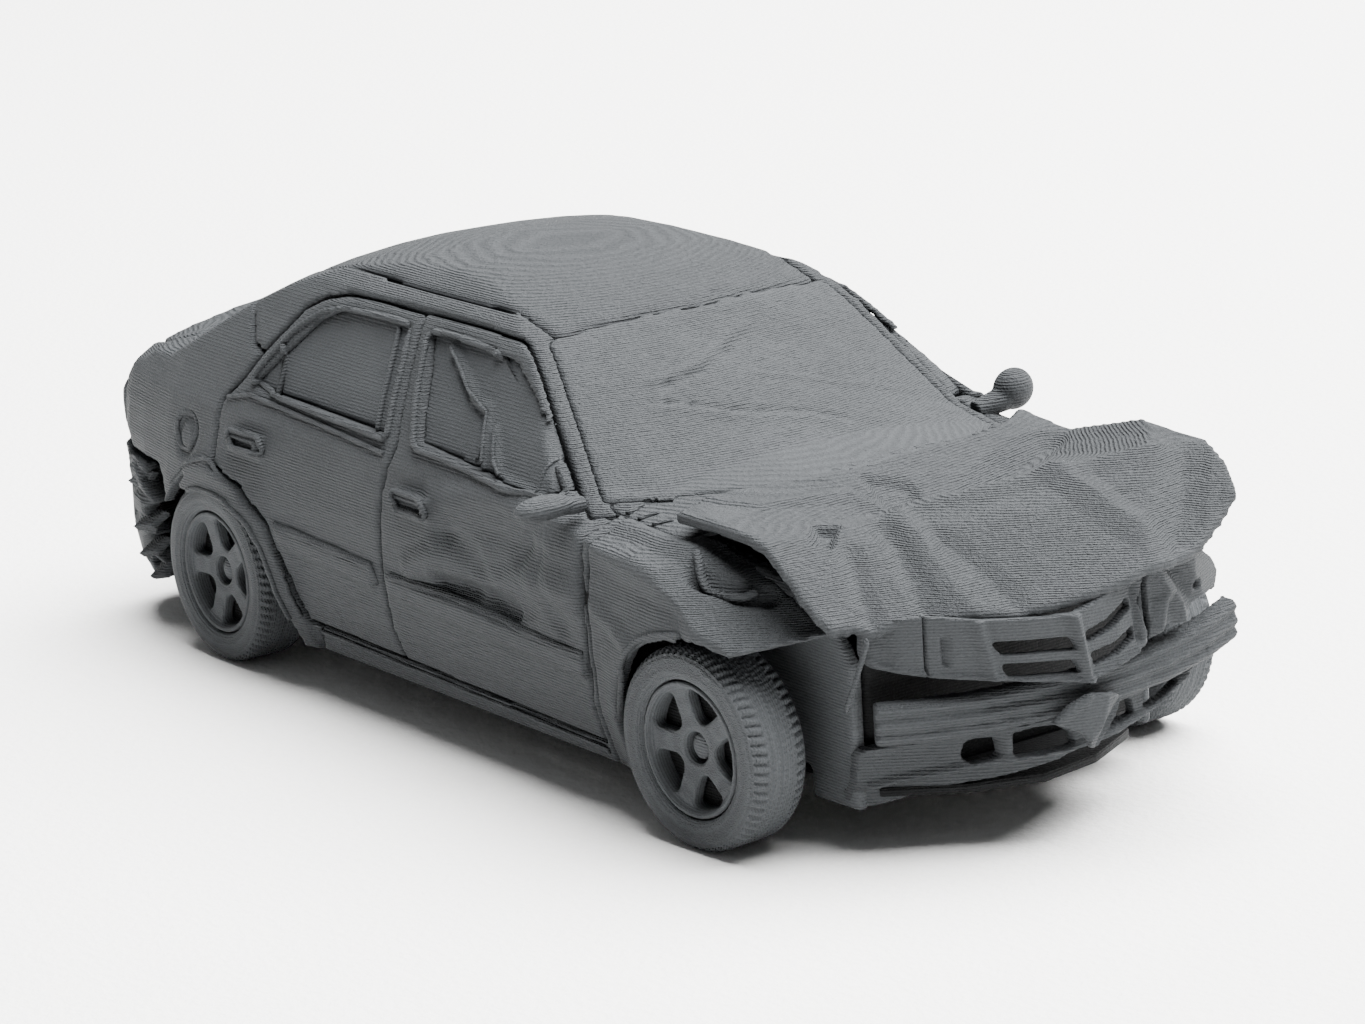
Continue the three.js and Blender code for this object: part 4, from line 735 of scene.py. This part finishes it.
def add_tray():
    count = len(TRAY)
    points = [(x, y, z) for z in TRAY_LEVELS for x, y in TRAY]
    sides = [(i, (i + 1) % count, (i + 1) % count + count, i + count) for i in range(count)]
    mesh = bpy.data.meshes.new("nose_tray")
    mesh.from_pydata(points, [], [tuple(range(count - 1, -1, -1)), tuple(range(count, 2 * count)), *sides])
    add_piece("nose_tray", mesh, [], "root", SHADE_PAINT)


add_tray()


# Beads: the raised lines of handles, mouldings, frames and lips, laid on the panels

BEAD_STEP = 0.2
OUTSIDE = 60
BEAD_SECTION = [(-0.5, -0.5), (-0.5, 0.45), (-0.32, 0.9), (0.0, 1.0), (0.32, 0.9), (0.5, 0.45), (0.5, -0.5)]


def resample(line, step):
    """The line's points at an even spacing, with its corners kept."""
    points = [Vector(line[0])]
    for a, b in zip(line[:-1], line[1:]):
        a, b = Vector(a), Vector(b)
        count = max(1, math.ceil((b - a).length / step))
        points += [a.lerp(b, (i + 1) / count) for i in range(count)]
    return points


def rounded(line, radius=0.3, closed=False):
    """The line with a small curve at each corner."""
    points = [Vector(p) for p in line]
    if closed:
        points = [points[-1], *points, points[0]]
    out = [] if closed else [points[0]]
    for before, corner, after in zip(points[:-2], points[1:-1], points[2:]):
        cut = min(radius, (before - corner).length * 0.45, (after - corner).length * 0.45)
        start = corner + (before - corner).normalized() * cut
        end = corner + (after - corner).normalized() * cut
        out += [start.lerp(corner, t).lerp(corner.lerp(end, t), t) for t in (0.0, 0.25, 0.5, 0.75, 1.0)]
    out.append(out[0] if closed else points[-1])
    return out


def lay_on(tree, view, flat):
    """The surface's point and normal under a point of a flat view, in car millimetres."""
    axes, direction = VIEWS[view]
    outward = Vector(direction).normalized()
    start = Vector((0, 0, 0))
    for axis, value in zip(axes, flat):
        start[axis] = value
    hit, normal = tree.ray_cast(start + outward * OUTSIDE, -outward)[:2]
    if hit is None:
        return None
    return hit, normal if normal.dot(outward) > 0 else -normal


def bead_mesh(tree, view, line, width, height):
    """One bead: rings of points across the line, joined and closed at both ends."""
    laid = [lay_on(tree, view, flat) for flat in resample(line, BEAD_STEP)]
    laid = [entry for entry in laid if entry]
    points, faces = [], []
    if len(laid) < 2:
        return points, faces
    size = len(BEAD_SECTION)
    for k, (at, normal) in enumerate(laid):
        run = laid[min(k + 1, len(laid) - 1)][0] - laid[max(k - 1, 0)][0]
        across = normal.cross(run).normalized()
        points += [at + across * (u * width) + normal * (v * height) for u, v in BEAD_SECTION]
    for k in range(len(laid) - 1):
        for i in range(size):
            a, b = k * size + i, k * size + (i + 1) % size
            faces.append((a, b, b + size, a + size))
    last = (len(laid) - 1) * size
    faces.append(tuple(range(size - 1, -1, -1)))
    faces.append(tuple(range(last, last + size)))
    return points, faces


def add_beads(name, node, beads):
    """All the beads that lie on one printed piece."""
    under = bpy.data.objects["print_" + node].data.copy()
    under.transform(TO_CAR)
    tree = BVHTree.FromPolygons([v.co for v in under.vertices], [tuple(p.vertices) for p in under.polygons])
    bpy.data.meshes.remove(under)
    points, faces = [], []
    for view, line, width, height in beads:
        more, sides = bead_mesh(tree, view, line, width, height)
        faces += [tuple(i + len(points) for i in side) for side in sides]
        points += more
    points = np.clip(np.array([tuple(p) for p in points]), BOX_LOW, BOX_HIGH)
    mesh = bpy.data.meshes.new(name)
    mesh.from_pydata(points.tolist(), [], faces)
    add_piece(name, mesh, [], BODY_OF[node], SLOT_MATERIALS[SLOT_OF[node]])


def grip_beads(view, corners):
    """A handle's raised frame."""
    return [(view, rounded(corners, 0.45, closed=True), 0.42, 0.36)]


REAR_GRIP = [(3.1, 19.5), (7.3, 19.6), (7.9, 18.5), (4.0, 18.4)]
FRONT_GRIP = [(26.2, 19.1), (30.3, 19.1), (30.7, 18.0), (26.9, 17.9)]
REAR_FRAME = [
    (3.4, 23.0), (4.9, 25.1), (6.6, 27.1), (8.9, 28.5), (11.2, 29.1), (18.3, 29.3), (20.3, 29.2),
    (21.6, 26.3), (23.2, 21.9), (14.8, 22.2), (7.8, 22.4),
]
FRONT_FRAME = [
    (22.8, 29.2), (26, 29.3), (31.0, 29.1), (34.2, 28.5), (38.3, 26.3), (42.2, 23.9), (45.0, 21.4),
    (39.2, 21.3), (31.5, 21.8), (26.6, 22.0), (24.4, 25.6),
]
REAR_ARCH_BEAD = [
    (-8.0, 8.0), (-6.9, 11.5), (-4.4, 13.4), (-1.2, 14.4), (2.2, 14.4), (5.4, 13.5), (7.4, 11.7), (8.8, 8.8),
    (9.3, 5.9),
]
REAR_FLARE_BEAD = [
    (-6.0, 13.9), (-3.0, 16.0), (0.4, 17.0), (3.3, 16.6), (6.2, 15.6), (8.3, 13.4), (9.7, 10.6), (10.7, 6.3),
]
FUEL_FLAP_BEAD = [(-5.3, 19.3), (-3.5, 19.6), (-2.6, 18.2), (-3.4, 16.7), (-5.2, 16.8), (-5.9, 18.2)]
FRONT_ARCH_BEAD = [(52.6, 8.0), (53.3, 10.6), (54.6, 12.9), (56.6, 14.6), (58.8, 15.4), (61.2, 15.8)]
FENDER_LIP_BEAD = [(58.8, -17.3), (60.3, -18.0), (61.8, -17.6), (62.8, -16.7), (63.2, -15.8)]
PANE_CRACK_BEAD = [
    (26.2, 28.5), (28.0, 27.6), (30.0, 26.4), (31.5, 25.9), (33.2, 25.4), (34.3, 23.6), (35.0, 22.3),
]
REAR_DOOR_BEADS = [
    ("side", rounded(REAR_FRAME, 0.8, closed=True), 0.42, 0.34),
    ("side", [(1.0, 21.5), (4.0, 22.1), (14.8, 21.6), (23.4, 21.1)], 0.35, 0.2),
    ("side", [(5.9, 25.8), (7.5, 22.5)], 0.42, 0.4),
    ("side", rounded([(9.3, 13.4), (22.6, 12.8), (22.75, 11.4)], 0.5), 0.6, 0.14),
]
FRONT_DOOR_BEADS = [
    ("side", rounded(FRONT_FRAME, 0.8, closed=True), 0.42, 0.34),
    ("side", [(25.1, 12.6), (32.0, 12.5), (41.0, 12.0), (49.0, 11.7)], 0.6, 0.14),
]
PANE_REAR_BEADS = [("side", [(18.9, 28.7), (21.2, 22.2)], 0.34, 0.34)]
QUARTER_BEADS = [
    ("side", rounded(REAR_ARCH_BEAD, 1.0), 0.45, 0.25),
    ("side", rounded(REAR_FLARE_BEAD, 1.0), 0.35, 0.2),
    ("side", rounded(FUEL_FLAP_BEAD, 0.7, closed=True), 0.45, 0.14),
]
SIDE_FRAME_BEADS = [("side", [(11.2, 5.4), (23.3, 5.2), (36.3, 4.9), (49.4, 4.6)], 0.4, 0.22)]
FENDER_BEADS = [
    ("side", rounded(FRONT_ARCH_BEAD, 1.0), 0.45, 0.3),
    ("top", rounded(FENDER_LIP_BEAD, 0.8), 0.6, 0.6),
]


def mirrored(beads):
    return [("left side", line, width, height) for _, line, width, height in beads]


BEADS = {
    "door_rear_right": [*REAR_DOOR_BEADS, *grip_beads("side", REAR_GRIP)],
    "door_front_right": [*FRONT_DOOR_BEADS, *grip_beads("side", FRONT_GRIP)],
    "pane_rear_right": PANE_REAR_BEADS,
    "pane_front_right": [
        ("side", PANE_CRACK_BEAD, 0.22, 0.18),
        ("side", [(33.6, 24.4), (33.9, 22.3)], 0.2, 0.16),
        ("side", [(35.3, 24.2), (36.2, 22.8), (37.4, 21.9)], 0.22, 0.18),
        ("side", [(42.4, 21.6), (42.2, 24.0)], 0.22, 0.18),
    ],
    "quarter_panel_right": QUARTER_BEADS,
    "cowl_panel": [
        ("top", [(47.0, -15.5), (50.0, -12.7)], 0.9, 0.2),
        ("top", [(49.1, -16.0), (48.9, -14.6)], 0.45, 0.2),
        ("top", [(50.4, -16.0), (50.8, -14.7)], 0.45, 0.2),
        ("top", [(52.0, -16.0), (52.6, -14.7)], 0.45, 0.2),
    ],
    "side_frame_right": SIDE_FRAME_BEADS,
    "fender_right": FENDER_BEADS,
    "door_rear_left": mirrored([*REAR_DOOR_BEADS, *grip_beads("side", REAR_GRIP)]),
    "door_front_left": mirrored([*FRONT_DOOR_BEADS, *grip_beads("side", FRONT_GRIP)]),
    "pane_rear_left": mirrored(PANE_REAR_BEADS),
    "quarter_panel_left": mirrored(QUARTER_BEADS[:2]),
    "side_frame_left": mirrored(SIDE_FRAME_BEADS),
    "fender_left": mirrored(FENDER_BEADS),
}
for bead_node, bead_lines in BEADS.items():
    add_beads("trim_" + bead_node, bead_node, bead_lines)


# Wheels: a tyre with blocks in its tread, on a rim with five spokes

TYRE_STEPS = {"front_right": 396, "rear_right": 396, "front_left": 264, "rear_left": 264}
SHOULDER_BLOCKS = 66
SIPES = 110
TREAD_DEPTH = 0.26
TREAD_ROW = 0.48
SHOULDER_DROP = 0.5
TREAD_HALF = 2.25
BLOCKS_START = 1.25
TREAD_SPACING = 0.13
SIDEWALL_SPACING = 0.35
TYRE_RADIUS = JOINTS["spin_rear_right"]["pos_m"][2] / MM
TYRE_HALF = 2.45
BACKING = [(1.9, 0.3), (4.2, 0.3), (4.2, 0.6), (1.9, 0.6)]
BACKING_STEPS = 48
TYRE_BEAD = 4.83
TYRE_PROFILE = [
    (TYRE_BEAD, -1.9), (TYRE_BEAD + 0.05, -2.15), (TYRE_BEAD + 0.35, -2.34),
    (TYRE_BEAD + 0.9, -TYRE_HALF + 0.02), (TYRE_BEAD + 1.4, -TYRE_HALF + 0.06),
    (TYRE_RADIUS - 0.45, -2.28), (TYRE_RADIUS - 0.17, -2.0), (TYRE_RADIUS - 0.03, -1.65),
    (TYRE_RADIUS, -1.2), (TYRE_RADIUS, 0),
]


def tyre_profile():
    half = []
    for (r0, y0), (r1, y1) in zip(TYRE_PROFILE[:-1], TYRE_PROFILE[1:]):
        spacing = TREAD_SPACING if r1 > TYRE_RADIUS - 0.2 else SIDEWALL_SPACING
        count = max(1, round(math.hypot(r1 - r0, y1 - y0) / spacing))
        half += [(r0 + (r1 - r0) * i / count, y0 + (y1 - y0) * i / count) for i in range(count)]
    return [*half, TYRE_PROFILE[-1], *[(r, -y) for r, y in reversed(half)]]


def groove(phase, start, slope):
    """A line of grooves: 0 in the middle of each block and 1 in the groove beside it."""
    return np.clip((np.abs(phase % 1 - 0.5) - start) / slope, 0, 1)


def tread_depth(turn, place_across):
    """How deep the grooves between the tread's blocks are there."""
    far = np.abs(place_across)
    row = far / TREAD_ROW
    stagger = np.where(np.floor(row) % 2 > 0.5, 0.5, 0.0)
    block = turn * SHOULDER_BLOCKS / (2 * math.pi) + far * 0.35
    sipe = turn * SIPES / (2 * math.pi) + stagger + place_across * 0.4
    shoulder = groove(block, 0.24, 0.14) * np.clip((far - BLOCKS_START) / 0.1, 0, 1)
    middle = np.maximum(groove(row, 0.3, 0.14) * 0.55, groove(sipe, 0.2, 0.2) * 0.4)
    on_tread = np.clip((TREAD_HALF - far) / 0.15, 0, 1)
    inward = np.clip((BLOCKS_START + 0.25 - far) / 0.2, 0, 1)
    return TREAD_DEPTH * on_tread * np.maximum(shoulder, middle * inward)


def wheel_place(joint):
    """From the wheel's own millimetres, with Y along its axis and away from the car, to the frame."""
    outward = Vector(joint["axis"]) * (1 if joint["pos_m"][1] > 0 else -1)
    upward = Vector((0, 0, 1))
    forward = outward.cross(upward).normalized()
    turn = Matrix((forward, outward, upward)).transposed().to_4x4()
    return Matrix.Translation(Vector(joint["pos_m"])) @ turn @ Matrix.Scale(MM, 4)


def loop_at(turns, radius, across):
    """The points of a circle about the wheel's axis; the radius may change along it."""
    return np.stack([radius * np.cos(turns), np.full(len(turns), across), radius * np.sin(turns)], axis=1)


def joined(name, loops):
    """A closed ring of faces through loops of points."""
    steps = len(loops[0])
    faces = []
    for r in range(len(loops)):
        low, high = r * steps, (r + 1) % len(loops) * steps
        for k in range(steps):
            after = (k + 1) % steps
            faces.append((low + k, high + k, high + after, low + after))
    mesh = bpy.data.meshes.new(name)
    mesh.from_pydata(np.concatenate(loops).tolist(), [], faces)
    return mesh


def turned(name, profile, steps):
    """A closed ring turned about the wheel's axis, from a profile of [radius, across] points."""
    turns = np.linspace(0, 2 * math.pi, steps, endpoint=False)
    return joined(name, [loop_at(turns, radius, across) for radius, across in profile])


def add_tyre(name, joint, material):
    turns = np.linspace(0, 2 * math.pi, TYRE_STEPS[name], endpoint=False)
    loops = []
    for radius, across in tyre_profile():
        depth = tread_depth(turns, across) if radius > TYRE_RADIUS - SHOULDER_DROP else 0
        loops.append(loop_at(turns, radius - depth, across))
    mesh = joined("tyre", loops)
    add_piece("print_tyre_" + name, mesh, ["tyre_" + name], "wheel_" + name, material,
              wheel_place(joint))


def add_backing(name, joint):
    """A ring behind the spokes, which closes the rim's windows; near black, as painted shade inside the wheel."""
    mesh = turned("backing", BACKING, BACKING_STEPS)
    add_piece("rim_backing_" + name, mesh, [], "wheel_" + name, SHADE_PAINT, wheel_place(joint))


# The rim's face: five tapering spokes between rounded windows

SPOKES = 5
SPOKE_HALF = 0.8
WINDOW_REACH = 4.2
WINDOW_APEX = 0.8
WINDOW_CORNER = 0.4
RIM_BORE = 1.12
FACE_PLACE = 1.75
FACE_THICKNESS = 1.0
FACE_REACH = 4.45
HUB_OUTER = 1.75
HUB_SUNK = 0.2
RIM_DISH = 0.35
RIM_STEPS = 72
BORE_STEPS = 32
BARREL = [(4.2, -2.2), (4.72, -2.2), (4.72, 2.2), (4.42, 2.2), (4.3, 1.85), (4.2, 1.6)]


def polar(radius, angle):
    return radius * math.cos(angle), radius * math.sin(angle)


def arc(centre, radius, first, last, steps):
    turns = np.linspace(first, last, steps)
    return [(centre[0] + radius * math.cos(turn), centre[1] + radius * math.sin(turn)) for turn in turns]


def rim_window(middle):
    """The rounded opening between two spokes."""
    half = math.pi / SPOKES
    side = math.pi / 2 + half
    apex = polar((SPOKE_HALF + WINDOW_APEX) / math.sin(half), middle)
    reach = WINDOW_REACH - WINDOW_CORNER
    lean = half - math.asin((SPOKE_HALF + WINDOW_CORNER) / reach)
    near, far = middle - lean, middle + lean
    return [
        *arc(apex, WINDOW_APEX, middle + side, middle + 2 * math.pi - side, 9),
        *arc(polar(reach, near), WINDOW_CORNER, middle - side, near, 6),
        *arc((0, 0), WINDOW_REACH, near, far, 8)[1:-1],
        *arc(polar(reach, far), WINDOW_CORNER, far, middle + side, 6),
    ]


def rim_blank(name, joint):
    """The rim's barrel, face and hub, as a rough solid in the wheel's own millimetres."""
    model = frame["nodes"]["rim_" + name].data.copy()
    model.transform(wheel_place(joint).inverted())
    hub_end = points_of(model)[:, 1].min()
    bpy.data.meshes.remove(model)
    hub_face = FACE_PLACE - HUB_SUNK
    hub = [(RIM_BORE, hub_end), (HUB_OUTER, hub_end), (HUB_OUTER, hub_face), (RIM_BORE, hub_face)]
    openings = [rim_window(2 * math.pi * k / SPOKES) for k in range(SPOKES)]
    openings.append(arc((0, 0), RIM_BORE, 0, 2 * math.pi, BORE_STEPS + 1)[:-1])
    outline = arc((0, 0), FACE_REACH, 0, 2 * math.pi, RIM_STEPS + 1)[:-1]
    face = flat_plate("rim_face", outline, openings, FACE_THICKNESS)
    face.transform(Matrix.Translation((0, FACE_PLACE, 0)) @ Matrix.Rotation(math.pi / 2, 4, "Z"))
    solid = bmesh.new()
    for mesh in (turned("barrel", BARREL, RIM_STEPS), turned("hub", hub, BORE_STEPS), face):
        solid.from_mesh(mesh)
    bmesh.ops.recalc_face_normals(solid, faces=solid.faces)
    rough = bpy.data.meshes.new("rim")
    solid.to_mesh(rough)
    solid.free()
    return rough


def add_rim(name, joint, material):
    mesh = reskinned("rim", rim_blank(name, joint), RIM_VOXELS[name], PANEL_ROUNDS)
    points = points_of(mesh)
    far = np.hypot(points[:, 0], points[:, 2])
    outer = np.clip(points[:, 1] / FACE_PLACE, 0, 1)
    points[:, 1] -= RIM_DISH * outer * np.clip(1 - far / WINDOW_REACH, 0, 1)
    mesh.vertices.foreach_set("co", points.ravel())
    add_piece("print_rim_" + name, mesh, ["rim_" + name], "wheel_" + name, material,
              wheel_place(joint))


def add_wheels():
    for name in ("front_right", "front_left", "rear_right", "rear_left"):
        joint = JOINTS["spin_" + name]
        axis = tuple(joint["axis"])
        # The wheels take the brighter copy of the plastic: painted light on their shaded sides
        tyre_look = printed_plastic("tyre_print_" + name, LIT_COPY_GREY, LIT_COPY_PALE, axis, step=0.7, grain=0.8)
        rim_look = printed_plastic("rim_print_" + name, LIT_COPY_GREY, LIT_COPY_PALE, axis, step=0.35, grain=0.6)
        add_tyre(name, joint, tyre_look)
        add_backing(name, joint)
        add_rim(name, joint, rim_look)


add_wheels()


# Floor and light

FLOOR_HALF = 3.0
WEAVE_SCALE = 1400.0
CARD_GREY = (0.76, 0.752, 0.738, 1)
CARD_WHITE = (0.84, 0.834, 0.822, 1)
LAMP_AT = (0.05, 0.36, 0.85)
LAMP_SIZE = 1.25
LAMP_WATTS = 108.0
ROOM_WHITE = (0.96, 0.98, 1.0, 1)
ROOM_STRENGTH = 0.22


def add_floor():
    half = FLOOR_HALF
    corners = [(-half, -half, 0), (half, -half, 0), (half, half, 0), (-half, half, 0)]
    mesh = bpy.data.meshes.new("floor")
    mesh.from_pydata(corners, [], [(0, 1, 2, 3)])
    floor = link("floor", mesh)
    tree = Tree("floor_card")
    where = tree.node("ShaderNodeTexCoord")[3]
    weave = tree.noise(where, WEAVE_SCALE, 3.0, 0.6)
    tree.feed(tree.shader.inputs["Base Color"], tree.mix(weave, CARD_GREY, CARD_WHITE))
    bump = tree.node("ShaderNodeBump", {}, {"Strength": 0.7, "Distance": 0.0002, "Height": weave})[0]
    tree.feed(tree.shader.inputs["Normal"], bump)
    tree.shader.inputs["Roughness"].default_value = 0.9
    mesh.materials.append(tree.material)


def add_lamp(name, at, toward, size, watts):
    data = bpy.data.lights.new(name, "AREA")
    data.shape = "DISK"
    data.size = size
    data.energy = watts
    lamp = link(name, data)
    lamp.location = at
    lamp.rotation_euler = (Vector(toward) - Vector(at)).to_track_quat("-Z", "Y").to_euler()


def add_light():
    add_lamp("overhead", LAMP_AT, (0, 0, 0), LAMP_SIZE, LAMP_WATTS)
    world = bpy.data.worlds.new("room")
    world.use_nodes = True
    sky = world.node_tree.nodes["Background"]
    sky.inputs["Color"].default_value = ROOM_WHITE
    sky.inputs["Strength"].default_value = ROOM_STRENGTH
    bpy.context.scene.world = world


add_floor()
add_light()
